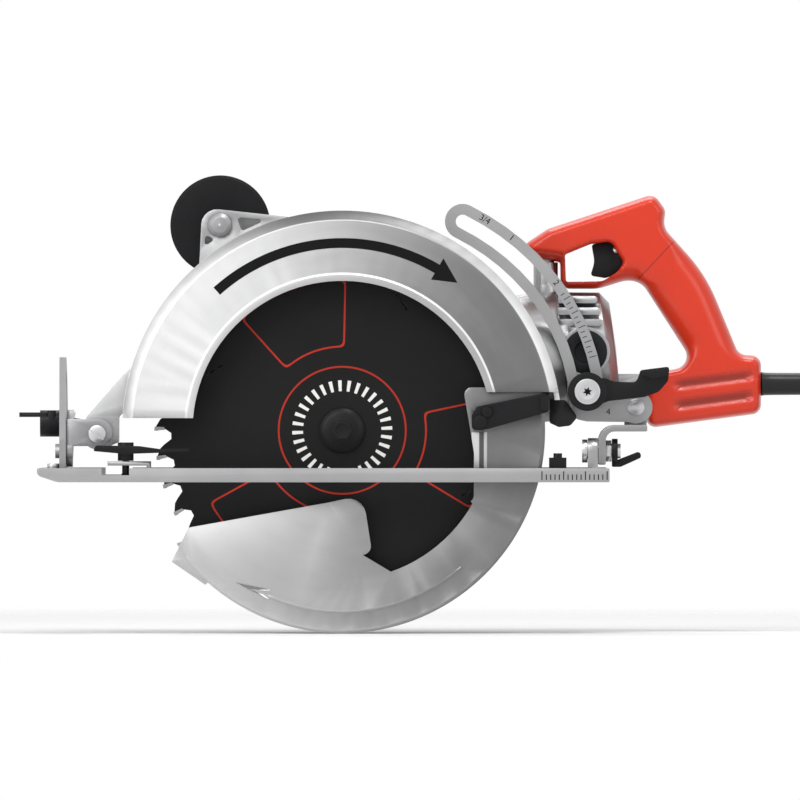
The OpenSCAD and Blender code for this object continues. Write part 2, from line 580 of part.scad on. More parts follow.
module guard_lever() color(black) difference() {
    union() {
        slab(at(lift_u[1]), at(lift_u[0])) polygon(rounded([[89.5, 46.5, 3], [93.3, 52.3, 2], [139, 61.4, 2],
            [142.9, 60, 2], [142.9, 48.8, 2], [100.9, 36.7, 3], [89.5, 35.6, 3]]));
        rod_y(lift_x, lift_z, at(lift_u[0]) - over, at(-plate_u[1]), 5);
        block(137, 142.9, at(lift_u[1]) - 4, at(lift_u[1]) + over, 50, 59);
    }
    rod_y(lift_x, lift_z, at(lift_u[1]) - over, at(-plate_u[1]) + over, lift_screw_r + fit);
    rod_y(rivet_x, rivet_z, at(lift_u[1]) - over, at(lift_u[0]) + over, lift_screw_r + fit);
}

module guard_rivets() color(steel_grey) {
    rod_y(lift_x, lift_z, at(lift_u[1]), at(-plate_u[0]), lift_screw_r);
    rod_y(lift_x, lift_z, at(lift_u[1]) - 2.2, at(lift_u[1]), 4.6);
    rod_y(rivet_x, rivet_z, at(lift_u[1]), at(lift_u[0]), lift_screw_r);
    rod_y(rivet_x, rivet_z, at(lift_u[1]) - 1.6, at(lift_u[1]), 3.6);
}

// Return spring of the lower guard, wound round the nose
module guard_spring() color(steel_grey) about_arbor(40, 380)
    translate([nose_out_r + gap, -back_u[0] + gap]) square([2.4, back_u[0] - plate_u[1] - 2 * gap]);

// Rubber bumper and chip deflector under the rear end of the guard's rim
module guard_bumper() color(black) slab(at(1), at(back_u[0] - gap)) polygon(rounded([
    [143.6, 41, 2], [150, 38, 3], [158, 39, 4], [163, 45, 3], [156, 55, 3], [154, rim_end, 1],
    [143.6, rim_end, 1]]));

// Front grip, bolted through the guard's lug
grip_face = lug_u[1];
flange_t = 5;

module front_grip() color(black) difference() {
    translate([grip_x, at(grip_face), grip_z]) rotate([-90, 0, 0]) rotate_extrude() polygon(concat(
        [[0, 0], [front_flange_r - 2, 0], [front_flange_r, 1.5], [front_flange_r, flange_t - 1.5],
         [front_flange_r - 2, flange_t], [front_grip_r + 5, flange_t + 2], [front_grip_r, flange_t + 7]],
        [[front_grip_r + 0.8, flange_t + front_grip_len * 0.45],
         [front_grip_r - 1, flange_t + front_grip_len * 0.75],
         [front_grip_r + 2, flange_t + front_grip_len - 8], [front_grip_r - 1, flange_t + front_grip_len],
         [0, flange_t + front_grip_len]]));
    rod_y(grip_x, grip_z, at(grip_face) - over, at(grip_face) + 40, grip_bolt_r + fit);
}

module front_grip_bolt() color(steel_grey) {
    rod_y(grip_x, grip_z, at(lug_u[0]), at(grip_face) + 39, grip_bolt_r);
    translate([grip_x, at(lug_u[0]), grip_z]) rotate([90, 0, 0]) rotate_extrude()
        polygon([[0, 0], [8.6, 0], [8.2, 2.4], [5.5, 4.4], [0, 5]]);
}

// Blade and what clamps it
bore_r = 8;
tooth_pitch = 360 / blade_teeth;
flange_r = 15.6;
inner_flange_r = 20;
half_t = blade_t / 2;
function tooth(i) = let (a = 180 + i * tooth_pitch, p = tooth_pitch)
    [for (q = [[0, blade_r], [0.02, blade_r - 1.5], [-0.06, blade_r - 7], [0.1, blade_r - 11.5],
               [0.32, blade_r - 11.5], [0.5, blade_r - 6.5], [0.62, blade_r - 3.6], [0.9, blade_r - 0.6]])
        q[1] * [cos(a + q[0] * p), sin(a + q[0] * p)]];

module blade() color(dark_grey) translate([0, at(0), arbor_z]) difference() {
    slab(-half_t, half_t) difference() {
        polygon([for (i = [0 : blade_teeth - 1]) each tooth(i)]);
        circle(r = bore_r);
    }
    // Curved expansion slots
    for (a = [35 : 90 : 305]) rotate([0, a, 0]) slab(-half_t - over, half_t + over)
        polygon(blade_r / 130 * concat(arc([50, 34], 50, -28, 12, 8), arc([50, 34], 49.2, 12, -28, 8)));
}

flange_u = [-6, -half_t];
module outer_flange() color(steel_grey) about_arbor() polygon([
    [bolt_shank_r + fit, half_t], [flange_r, half_t], [flange_r, half_t + 2], [flange_r - 3, -flange_u[0] - 1],
    [flange_r - 7, -flange_u[0]], [bolt_shank_r + fit, -flange_u[0]]]);

inner_flange_u = 6;
module inner_flange() color(steel_grey) about_arbor() polygon([
    [spindle_nose_r + fit, -half_t], [inner_flange_r, -half_t], [inner_flange_r, -half_t - 2.5],
    [inner_flange_r - 4, -inner_flange_u], [spindle_nose_r + fit, -inner_flange_u]]);

bolt_shank_r = 5;
bolt_depth = 14;
module arbor_bolt() color(steel_grey) {
    rod_y(0, arbor_z, at(flange_u[0]), at(bolt_depth), bolt_shank_r);
    rod_y(0, arbor_z, at(flange_u[0]) - 1.8, at(flange_u[0]), 8.8);
    difference() {
        hex_y(0, arbor_z, at(flange_u[0]) - 8, at(flange_u[0]) - 1.8, 7);
        rod_y(0, arbor_z, at(flange_u[0]) - 9, at(flange_u[0]) - 7, 4.5);
    }
}

// Spindle, worm wheel and worm
spindle_nose_r = bore_r - fit;
spindle_tail_r = 6;
wheel_half = 8;
wheel_teeth = 14;
worm_starts = 3;
wheel_pitch_r = 20;
worm_pitch_r = worm_distance - wheel_pitch_r;
tooth_top = 2.4;
tooth_foot = 2.9;
backlash = 0.5;
tail_y = [12, 28.5];
worm_x = -worm_distance * sin(motor_tilt);
worm_z = arbor_z + worm_distance * cos(motor_tilt);
// Advance of the worm in one turn, and the wheel's twist that matches it
worm_lead = 2 * PI * wheel_pitch_r * worm_starts / wheel_teeth;
wheel_twist = worm_lead / (2 * PI * worm_pitch_r) * 2 * wheel_half / wheel_pitch_r * 180 / PI;

// Frame with X along the motor's axis, from the worm's centre
module on_motor() translate([worm_x, 0, worm_z]) rotate([0, -motor_tilt, 0]) children();
module motor_rod(s0, s1, r) on_motor() rod_x(0, 0, s0, s1, r);
module motor_revolve() on_motor() rotate([90, 0, 90]) rotate_extrude($fn = 96) children();

module spindle() color(steel_grey) difference() {
    union() {
        rod_y(0, arbor_z, at(-half_t + 0.2), at(inner_flange_u), spindle_nose_r);
        rod_y(0, arbor_z, at(inner_flange_u), tail_y[0], spindle_r - fit);
        rod_y(0, arbor_z, tail_y[0], tail_y[1], spindle_tail_r - fit);
    }
    rod_y(0, arbor_z, at(-2), at(bolt_depth) + 2, bolt_shank_r + fit);
}

function wheel_tooth(i) = let (a = 90 + i * 360 / wheel_teeth, w = 360 / wheel_teeth,
    slim = backlash / wheel_pitch_r * 180 / PI / 2)
    [for (q = [[-0.42, -tooth_foot], [-0.36, -tooth_foot * 0.7], [-0.25, 0], [-0.13, tooth_top],
               [0.13, tooth_top], [0.25, 0], [0.36, -tooth_foot * 0.7], [0.42, -tooth_foot]])
        let (b = a - q[0] * w + sign(q[0]) * slim)
        (wheel_pitch_r + q[1]) * [cos(b), sin(b)]];

module worm_wheel() color(brass) translate([0, wheel_half, arbor_z]) rotate([0, -motor_tilt, 0]) difference() {
    rotate([90, 0, 0]) rotate([0, 0, -wheel_twist / 2])
        linear_extrude(2 * wheel_half, twist = -wheel_twist, slices = 5)
            polygon([for (i = [wheel_teeth - 1 : -1 : 0]) each wheel_tooth(i)]);
    rod_y(0, 0, -2 * wheel_half - over, over, spindle_r);
}

worm_half = 20;
function worm_thread(i) = let (w = 360 / worm_starts, a = (i + 0.5) * w,
    slim = backlash / worm_lead * 360 / 2)
    [for (q = [[-0.4, -tooth_foot], [-0.25, 0], [-0.12, tooth_top], [0, tooth_top],
               [0.12, tooth_top], [0.25, 0], [0.4, -tooth_foot], [0.5, -tooth_foot]])
        let (b = a + q[0] * w - sign(q[0]) * slim * (abs(q[0]) < 0.45 ? 1 : 0))
        (worm_pitch_r + q[1]) * [cos(b), sin(b)]];
shaft_front_r = 5;
shaft_mid_r = 8;
// Places along the motor's axis
front_bearing_s = [-38, -30];
mid_bearing_s = [28, 38];
fan_s = [48, 60];
core_s = [70, 120];
commutator_s = [166, 181];
rear_bearing_s = [184, 192];
brush_s = 174;

module worm_shaft() color(steel_grey) {
    on_motor() translate([-worm_half, 0, 0]) rotate([0, 90, 0]) rotate([0, 0, -360 * worm_half / worm_lead])
        linear_extrude(2 * worm_half, twist = -360 * 2 * worm_half / worm_lead, slices = 44)
            polygon([for (i = [0 : worm_starts - 1]) each worm_thread(i)]);
    motor_rod(front_bearing_s[0], -worm_half, shaft_front_r - fit);
    motor_rod(worm_half, rear_bearing_s[0] - gap, shaft_mid_r - fit);
    motor_rod(rear_bearing_s[0] - over, rear_bearing_s[1], shaft_r - fit);
}

rotor_r = 24.4;
module rotor_core() color(steel_grey) motor_revolve() polygon([
    [shaft_mid_r, core_s[0] - 12], [20, core_s[0] - 8], [rotor_r - 1, core_s[0] - 0.5],
    [rotor_r, core_s[0]], [rotor_r, core_s[1]], [rotor_r - 1, core_s[1] + 0.5], [20, core_s[1] + 14],
    [shaft_mid_r, core_s[1] + 18]]);
commutator_r = 15;
module commutator() color(copper) motor_revolve() polygon([[shaft_mid_r, commutator_s[0]],
    [commutator_r, commutator_s[0]], [commutator_r, commutator_s[1]], [shaft_mid_r, commutator_s[1]]]);

fan_r = 38;
module fan() color(black) {
    motor_revolve() polygon([[shaft_mid_r, fan_s[0]], [fan_r, fan_s[0]], [fan_r, fan_s[0] + 2],
        [14, fan_s[0] + 3], [14, fan_s[1] - 3], [shaft_mid_r, fan_s[1] - 3]]);
    on_motor() for (a = [0 : 36 : 324]) rotate([a, 0, 0])
        block(fan_s[0] + 1.5, fan_s[1] - 4, -1, 1, 13, fan_r - 2);
}

// Bearings
ball_r = 20;
ball_u = [9, 21];
tail_bearing_r = 11;
tail_bearing_y = [21, 29];
module arbor_bearings() color(steel_grey) {
    about_arbor() translate([spindle_r, -ball_u[1]]) square([ball_r - fit - spindle_r, ball_u[1] - ball_u[0]]);
    difference() {
        rod_y(0, arbor_z, tail_bearing_y[0], tail_bearing_y[1], tail_bearing_r - fit);
        rod_y(0, arbor_z, tail_bearing_y[0] - over, tail_bearing_y[1] + over, spindle_tail_r);
    }
}
front_bearing_r = 11;
mid_bearing_r = 16;
rear_bearing_r = 13;
module bearing_ring(s, r_in, r_out) motor_revolve() translate([r_in, s[0]]) square([r_out - r_in, s[1] - s[0]]);
module motor_bearings() color(steel_grey) {
    bearing_ring(front_bearing_s, shaft_front_r, front_bearing_r - fit);
    bearing_ring(mid_bearing_s, shaft_mid_r, mid_bearing_r - fit);
    bearing_ring(rear_bearing_s, shaft_r, rear_bearing_r - fit);
}

// Gear housing
case_r = 28;
wheel_room_r = 24;
tunnel_r = 19.8;
worm_room_r = 16.6;
case_y = [at(back_u[1]), 20];
case_front = -43;
motor_front = 46;
cover_t = 5;
cover_screw_r = 2;
cover_screw_at = [for (a = [18, 162, -28, 208]) [30.5 * cos(a), arbor_z + 30.5 * sin(a)]];
lock_s = case_front;
lock_pin_r = 3;
oil_s = 8;
oil_r = 5;

module gear_housing() color(cast_grey) difference() {
    union() {
        rod_y(0, arbor_z, at(inner_flange_u + 1.5), case_y[0] + over, nose_out_r);
        rod_y(0, arbor_z, case_y[0], case_y[1], case_r);
        intersection() {
            rod_y(0, arbor_z, case_y[0], case_y[0] + 6, hub_pad_r);
            block(-60, 60, case_y[0], case_y[0] + 6, floor_clear, 120);
        }
        for (p = cover_screw_at) rod_y(p[0], p[1], case_y[1] - 14, case_y[1], 5);
        motor_rod(case_front, motor_front, tunnel_r);
        motor_rod(motor_front - 7, motor_front, motor_r);
        on_motor() block(-26, 26, -tunnel_r, case_y[1] - 0.5, -worm_distance, 0);
        on_motor() rod_z(oil_s, 0, 0, tunnel_r + 2, 9);
    }
    rod_y(0, arbor_z, at(inner_flange_u), case_y[1], spindle_r + 1.5);
    rod_y(0, arbor_z, at(0), at(ball_u[1]), ball_r);
    rod_y(0, arbor_z, -wheel_half - 3, case_y[1] + over, wheel_room_r);
    motor_rod(front_bearing_s[1] - 0.2, mid_bearing_s[0] + over, worm_room_r);
    motor_rod(front_bearing_s[0] - 0.5, front_bearing_s[1], front_bearing_r);
    motor_rod(mid_bearing_s[0], motor_front + over, mid_bearing_r);
    motor_rod(lock_s - over, front_bearing_s[0] + over, lock_pin_r + fit);
    on_motor() rod_z(oil_s, 0, 0, tunnel_r + 3, oil_r + fit);
    for (p = cover_screw_at) rod_y(p[0], p[1], case_y[1] - 10, case_y[1] + over, cover_screw_r + fit);
    for (p = guard_screw_at) rod_y(p[0], p[1], case_y[0] - over, case_y[0] + 7, guard_screw_r + fit);
    for (p = flange_screw_at) on_motor()
        rod_x(p[0], p[1], motor_front - 8, motor_front + over, flange_screw_r + fit);
}

module gear_cover() color(cast_grey) difference() {
    union() {
        rod_y(0, arbor_z, case_y[1], case_y[1] + cover_t, case_r);
        for (p = cover_screw_at) rod_y(p[0], p[1], case_y[1], case_y[1] + cover_t, 5);
        rod_y(0, arbor_z, case_y[1], tail_bearing_y[1] + 3, tail_bearing_r + 4);
    }
    rod_y(0, arbor_z, case_y[1] - over, tail_bearing_y[1], tail_bearing_r);
    for (p = cover_screw_at)
        rod_y(p[0], p[1], case_y[1] - over, case_y[1] + cover_t + over, cover_screw_r + fit);
}

module oil_plug() color(steel_grey) on_motor() {
    rod_z(oil_s, 0, worm_room_r + 1, tunnel_r + 2, oil_r);
    translate([oil_s, 0, tunnel_r + 2]) cylinder(h = 4, r = 8, $fn = 6);
}

lock_travel = 3;
module spindle_lock() color(black) {
    motor_rod(lock_s - lock_travel - gap - 6, lock_s - lock_travel - gap, 9);
    motor_rod(lock_s - lock_travel - gap, lock_s + 1, lock_pin_r);
}

// Motor
case_wall = 3.5;
motor_in = motor_r - case_wall;
motor_rear = 158;
bell_rear = 196;
post_x = 141.5;
post_r = 8.5;
post_top = 152.7;
post_collar_z = worm_z + (post_x - worm_x) * tan(motor_tilt) + motor_r + 5;
flange_screw_r = 2.5;
flange_screw_at = [for (a = [40, 140, 220, 320]) [42.3 * cos(a), 42.3 * sin(a)]];
module motor_housing() color(cast_grey) difference() {
    union() {
        motor_rod(motor_front, motor_rear, motor_r);
        rod_z(post_x, 0, worm_z + motor_in, post_top, post_r);
        rod_z(post_x, 0, post_top - over, stub_top, stub_r);
        rod_z(post_x, 0, worm_z + motor_in, post_collar_z, post_r + 1.2);
        // Raised band at the joint with the gear housing
        motor_rod(motor_front, motor_front + 8, motor_r + 1);
    }
    motor_rod(motor_front + 4, motor_rear + over, motor_in);
    motor_rod(motor_front - over, motor_front + 5, 39);
    motor_rod(motor_rear, motor_rear + 20, bell_r + gap);
    // Cooling slots on the motor's far side
    for (s = [52 : 9 : 61]) on_motor() for (a = [-40 : 20 : 40]) rotate([a, 0, 0])
        block(s, s + 5, motor_in - 5, motor_r + 5, -3, 3);
    for (p = flange_screw_at) on_motor()
        rod_x(p[0], p[1], motor_front - over, motor_front + 5, flange_screw_r + fit);
}

brush_boss_y = 44;
brush_hole_r = 9;
cap_r = 15;
bell_boss_r = 17.3;
lug_x = [184, 211];
lug_z = [50, 75];
lug_half = 15;
bell_r = min(motor_r - 1, 44.9);
module end_bell() color(cast_grey) difference() {
    union() {
        motor_revolve() polygon([[0, motor_rear], [bell_r, motor_rear], [bell_r, motor_rear + 6],
            [bell_r - 1, motor_rear + 8], [bell_r - 4, bell_rear - 7], [bell_r - 12, bell_rear - 1],
            [0, bell_rear]]);
        on_motor() for (s = [-1, 1])
            rod_y(brush_s, 0, min(0, s * brush_boss_y), max(0, s * brush_boss_y), bell_boss_r);
        rod_y(bolt_x, bolt_z, at(boss_face), 0, 11);
        block(lug_x[0] - 20, lug_x[1], -lug_half, lug_half, lug_z[0], lug_z[1]);
        block(tongue_x[0] - over, tongue_x[1], -tongue_half, tongue_half, tongue_z[0], tongue_z[1]);
        // Cooling fins across the upper side
        for (z = [108, 116, 124]) slab(-motor_r + 6, motor_r - 6) polygon(rounded([
            [150, z, 0], [150, z + 5, 0], [208 - z / 4, z + 5, 2], [208 - z / 4, z, 2]]));
    }
    motor_rod(motor_front, rear_bearing_s[0] - 2, motor_in - 4);
    motor_rod(motor_front, motor_rear, motor_r + 12);
    motor_rod(motor_front, rear_bearing_s[1] + 0.5, rear_bearing_r);
    on_motor() rod_y(brush_s, 0, -brush_boss_y - over, brush_boss_y + over, brush_hole_r);
    on_motor() for (s = [-1, 1]) rod_y(brush_s, 0, min(s * (brush_boss_y - 3), s * (brush_boss_y + over)),
        max(s * (brush_boss_y - 3), s * (brush_boss_y + over)), cap_r + fit);
    rod_y(bolt_x, bolt_z, at(boss_face) - over, at(boss_face) + 13, lock_bolt_r + fit);
    for (p = base_screw_at) rod_y(p[0], p[1], -handle_w, handle_w, base_screw_r + fit);
}

module field_core() color(steel_grey) motor_revolve() translate([rotor_r + 0.6, core_s[0]])
    square([motor_in - fit - rotor_r - 0.6, core_s[1] - core_s[0]]);
module field_coils() color(copper) motor_revolve() for (s = [core_s[0] - 8, core_s[1]])
    polygon([[28, s + 1], [29, s], [39, s], [40, s + 1], [40, s + 7], [39, s + 8], [29, s + 8], [28, s + 7]]);

module brush_sets() on_motor() for (s = [-1, 1]) {
    color(dark_grey) translate([brush_s, s * 24, 0]) cube([10, 17.4, 6.4], center = true);
    color(brass) translate([brush_s, s * 26.3, 0]) difference() {
        cube([13.6, 20, 9.6], center = true);
        cube([10.1, 24, 6.5], center = true);
    }
}
module brush_caps() color(black) on_motor() for (s = [-1, 1])
    translate([brush_s, 0, 0]) rotate([s * 90, 0, 0]) rotate_extrude() polygon([
        [0, brush_boss_y - 7.5], [brush_hole_r - fit, brush_boss_y - 7.5], [brush_hole_r - fit, brush_boss_y - 3],
        [cap_r, brush_boss_y - 3], [cap_r, brush_boss_y + 0.5], [7.6, brush_boss_y + 0.5],
        [7, brush_boss_y - 1], [0, brush_boss_y - 1]]);

// Rear handle: two halves that meet in the motor's plane
handle_path = [[127, 165.5, 6], [143, 176, 16], [217, 200.5, 8], [225, 189, 7], [223.5, 177, 12],
    [253, 144, 110], [276, 88.5, 8], [291.5, 87.4, 7], [291.5, 47.6, 7], [211, 37, 7], [211, 74.5, 7],
    [245.5, 81, 9], [207.5, 140, 14], [196, 139.8, 18], [178, 134.2, 30], [151.8, 134.2, 6.5], [151.5, 152.8, 2],
    [127.5, 156.2, 6]];
handle_edge = 9;
handle_inset = 4;
window = [[154.8, 158, 2], [173, 165.5, 3], [187, 167, 5], [197.5, 152, 4], [193, 145.5, 4], [181, 139.5, 8],
    [165, 139.2, 6], [155.5, 139, 1.5]];
trigger_path = [[173.4, 165.3, 2], [175.6, 153, 14], [172.6, 143.4, 2], [183, 141.7, 4], [193, 145, 4],
    [200, 151, 3], [197, 163, 3], [188, 167.3, 3]];
trigger_room = [[168, 144, 1], [169.5, 168, 1], [190, 171, 3], [203.5, 165, 3], [204.5, 149, 3],
    [197, 143.2, 3], [190, 140.2, 3], [184, 139.4, 2], [176, 142.5, 1]];
trigger_half = 7;
trigger_x = 190;
trigger_z = 161;
trigger_pin_r = 2;
stub_r = 6;
stub_top = 164;
tongue_x = [lug_x[1], 233];
tongue_z = [52, 71];
tongue_half = 7.5;
base_screw_r = 2.5;
base_screw_at = [[224, 61.5]];
handle_screw_at = [[157, 170], [214.5, 143.5], [268, 80]];
switch_x = [206, 220];
switch_z = [152, 186];
switch_half = 8;
exit_z = 68;

// A half that swells from its rounded side to the joint in the motor's plane
module handle_form() {
    steps = 4;
    full = handle_w / 2;
    rings = concat([[0, 0]], [for (k = [0 : steps]) let (t = 90 * k / steps)
        [full - handle_edge + handle_edge * sin(t), handle_inset * (1 - cos(t))]]);
    lines = [for (q = rings) [for (p = rounded(drawn_in(handle_path, q[1]))) [p[0], q[0], p[1]]]];
    n = len(lines[0]);
    last = len(lines) - 1;
    ids = [for (i = [0 : n - 1]) i];
    inner = ears([for (p = lines[0]) [p[0], p[2]]], ids);
    outer = ears([for (p = lines[last]) [p[0], p[2]]], ids);
    polyhedron([for (line = lines) each line], concat(
        inner, [for (t = outer) [last * n + t[2], last * n + t[1], last * n + t[0]]],
        [for (k = [0 : last - 1], i = [0 : n - 1]) let (j = (i + 1) % n)
            each [[k * n + i, (k + 1) * n + i, (k + 1) * n + j], [k * n + i, (k + 1) * n + j, k * n + j]]]));
}

module handle_half(seats) {
    through = seats ? handle_w : handle_w / 2 - 4.8;
    difference() {
        handle_form();
        slab(-over, handle_w) polygon(rounded(window));
        slab(-over, trigger_half + 0.5) polygon(rounded(trigger_room));
        block(switch_x[0] - gap, switch_x[1] + gap, -over, switch_half + gap,
            switch_z[0] - gap, switch_z[1] + gap);
        block(tongue_x[0] - over, tongue_x[1] + gap, -over, tongue_half + fit,
            tongue_z[0] - gap, tongue_z[1] + gap);
        rod_z(post_x, 0, post_top - 5, stub_top + gap, stub_r + fit);
        rod_x(0, exit_z, tongue_x[1] + 10, 300, cord_d / 2 + 0.5);
        for (p = base_screw_at) rod_y(p[0], p[1], -over, through, base_screw_r + fit);
        for (p = handle_screw_at) {
            rod_y(p[0], p[1], -over, through, handle_screw_r + fit);
            if (seats) rod_y(p[0], p[1], handle_w / 2 - screw_sunk, handle_w, screw_head_r + gap);
        }
    }
    rod_y(trigger_x, trigger_z, 0, trigger_half + 1.5, trigger_pin_r - fit);
}

module handle_right() color(saw_red) handle_half(true);
module handle_left() color(saw_red) mirror([0, 1, 0]) handle_half(false);

module trigger() color(black) slab(-trigger_half, trigger_half) difference() {
    polygon(rounded(trigger_path));
    translate([trigger_x, trigger_z]) circle(r = trigger_pin_r);
}

module switch_block() color(dark_grey) {
    block(switch_x[0], switch_x[1], -switch_half, switch_half, switch_z[0], switch_z[1]);
}

// Screws of the cases and handle
handle_screw_r = 2;
screw_head_r = 4;
screw_sunk = 4;
module capped_screw_y(p, y0, y1, r, head_r, head_t) {
    rod_y(p[0], p[1], y0, y1, r);
    difference() {
        rod_y(p[0], p[1], y1, y1 + head_t, head_r);
        rod_y(p[0], p[1], y1 + head_t - 1.2, y1 + head_t + over, head_r / 2);
    }
}
module case_screws() color(steel_grey) {
    for (p = cover_screw_at) capped_screw_y(p, case_y[1] - 9, case_y[1] + cover_t, cover_screw_r, 3.8, 2.8);
    for (p = guard_screw_at) capped_screw_y(p, at(back_u[0]), case_y[0] + 6, guard_screw_r, 4.6, 3.4);
    for (p = handle_screw_at)
        capped_screw_y(p, -handle_w / 2 + 5, handle_w / 2 - screw_sunk + 0.1, handle_screw_r, screw_head_r, 2.4);
    for (p = base_screw_at)
        capped_screw_y(p, -handle_w / 2 + 5, handle_w / 2 + 0.1, base_screw_r, 5, 3.2);
    for (p = flange_screw_at) on_motor() {
        rod_x(p[0], p[1], motor_front - 7, motor_front + 3.5, flange_screw_r);
        rod_x(p[0], p[1], motor_front - 10, motor_front - 7, 3.6);
    }
}

// Cord. The strain relief leaves the handle's rear end, the lead falls to the surface
// that the lower guard stands on and runs into a coil put away beside the saw.
ground = arbor_z - lower_guard_r;
exit_x = 291.5;
relief_r = 9.5;
tie_t = 0.8;
coil_gap = 0.6;
coil_pitch = cord_d + coil_gap;
coil_in = 3.8 * cord_d;
coil_turns = 3;
coil_tail_turns = 2.5;
coil_z = ground + cord_d / 2 + tie_t + 0.1;
lead_x = 401;
coil_y = 30;
coil_mid = [lead_x + coil_in + coil_pitch * coil_turns, coil_y];
// Route of the lead, from the strain relief to the coil
route = [[337, 0, exit_z], [347, 0, exit_z], [360, -1, 65.3], [372, -3, 59], [383, -6, 49], [391, -10, 36],
    [397, -15, 20], [400, -20, 3], [lead_x, -25, -15], [lead_x, -29, -33], [lead_x, -31.5, -48],
    [lead_x, -31.5, -61], [lead_x, -28.5, -72.5], [lead_x, -22.5, -82.5], [lead_x, -14, -90.5],
    [lead_x, -3, -96], [lead_x, 9, coil_z], [lead_x, 20, coil_z]];
relief_len = route[0][0] - exit_x;

module strain_relief() color(black) translate([exit_x, 0, exit_z]) rotate([0, 90, 0]) rotate_extrude() {
    polygon(concat([[0, 0], [relief_r + 1.5, 0], [relief_r + 1.5, 3]],
        [for (k = [0 : 5]) let (x = 5 + 6.6 * k, r = relief_r - 0.6 * k)
            each [[r - 0.9, x], [r - 0.9, x + 1.6], [r, x + 2.4], [r, x + 5]]],
        [[cord_d / 2 + 0.6, relief_len], [0, relief_len]]));
}

// A tube of s sides and radius r along points p, closed at both ends
function tube_dir(p, i) = let (d = p[min(i + 1, len(p) - 1)] - p[max(i - 1, 0)]) d / norm(d);
function tube_side(d, up) = let (c = cross(d, up)) c / norm(c);
module tube(p, r, s, up) {
    n = len(p);
    rings = [for (i = [0 : n - 1]) let (d = tube_dir(p, i), a = tube_side(d, up), b = cross(d, a))
        [for (k = [0 : s - 1]) p[i] + r * (a * cos(360 * k / s) + b * sin(360 * k / s))]];
    polyhedron([for (ring = rings) each ring], concat(
        [[for (k = [0 : s - 1]) k]], [[for (k = [s - 1 : -1 : 0]) (n - 1) * s + k]],
        [for (i = [0 : n - 2], k = [0 : s - 1]) let (m = (k + 1) % s)
            each [[i * s + k, (i + 1) * s + k, (i + 1) * s + m], [i * s + k, (i + 1) * s + m, i * s + m]]]));
}
module cord_lead() color(black) tube(route, cord_d / 2, 10, [0.2, 0.95, 0.1]);

// The coil spirals in on the lower layer, climbs in the half turn where it reverses and
// spirals out again on the upper layer. t counts turns from the outside.
function coil_point(t) = let (a = 180 - 360 * t, r = coil_in + coil_pitch * abs(t - coil_turns),
    lift = max(0, min(1, (t - coil_turns + 0.25) / 0.5)))
    [coil_mid[0] + r * cos(a), coil_mid[1] + r * sin(a), coil_z + coil_pitch * lift];
coil_end = coil_turns + coil_tail_turns;
coil_rings = [for (k = [0 : 24 * coil_end]) coil_point(k / 24)];
tail_len = 60;
coil_tail = coil_point(coil_end);
coil_route = concat([[lead_x, coil_y - cord_d, coil_z], [lead_x, coil_y, coil_z]],
    [for (k = [1 : len(coil_rings) - 2]) coil_rings[k]],
    [coil_tail, coil_tail - [0, cord_d, 0], coil_tail - [0, tail_len, 0]]);
coil_self = min([for (i = [0 : len(coil_rings) - 1]) for (j = [i + 12 : 1 : len(coil_rings) - 1])
    norm(coil_rings[i] - coil_rings[j])]) - cord_d;
echo(least_gap_of_the_coil_to_itself = coil_self);
module cord_coil() color(black) tube(coil_route, cord_d / 2, 6, [0, 0, 1]);

tie_w = 12;
tie_room = 0.9;
module cord_tie() color(dark_grey) {
    low = coil_mid[1] - coil_in - 2.25 * coil_pitch - cord_d / 2 - tie_room;
    high = coil_mid[1] - coil_in - 0.25 * coil_pitch + cord_d / 2 + tie_room;
    top = coil_z + coil_pitch + cord_d / 2 + 0.2;
    difference() {
        block(coil_mid[0] - tie_w / 2, coil_mid[0] + tie_w / 2, low - tie_t, high + tie_t, ground, top + tie_t);
        block(coil_mid[0] - tie_w, coil_mid[0] + tie_w, low, high, ground + tie_t, top);
    }
}

plug_r = coil_tail[2] - ground;
plug_y = coil_tail[1] - tail_len;
module plug() {
    color(black) translate([coil_tail[0], plug_y, coil_tail[2]]) rotate([90, 0, 0]) rotate_extrude() polygon([
        [0, 0], [cord_d / 2 + 1.5, 0], [cord_d / 2 + 3, 10], [plug_r - 3, 15], [plug_r, 18], [plug_r, 36],
        [plug_r - 1.5, 38], [0, 38]]);
    color(brass) translate([coil_tail[0], plug_y - 38, coil_tail[2]]) {
        for (s = [-1, 1]) block(s * 6.35 - 0.75, s * 6.35 + 0.75, -17, 0, -2, 4.3);
        rod_y(0, -7, -19, 0, 2.4);
    }
}

foot_plate();
bevel_quadrant();
foot_screws();
fence_clamp();
bevel_stop();
fence_lever();
front_carriage();
bevel_bolt();
depth_pivot_screw();
rear_bracket();
rear_hinge_bolt();
link_pin();
bevel_lever();
rear_bevel_lever();
depth_link();
upper_guard();
gear_housing();
gear_cover();
motor_housing();
end_bell();
field_core();
field_coils();
brush_sets();
brush_caps();
motor_bearings();
arbor_bearings();
oil_plug();
handle_left();
handle_right();
case_screws();
switch_block();
front_grip();
front_grip_bolt();
guard_bumper();
depth_bolt();
strain_relief();
cord_lead();
cord_coil();
cord_tie();
plug();
guard_spring();
depth_lever();
depth_lever_screw();
lower_guard();
guard_lever();
guard_rivets();
blade();
outer_flange();
inner_flange();
arbor_bolt();
spindle();
worm_wheel();
worm_shaft();
rotor_core();
commutator();
fan();
trigger();
spindle_lock();
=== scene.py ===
import math
import bpy
import numpy as np
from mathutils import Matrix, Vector
from mathutils.geometry import delaunay_2d_cdt


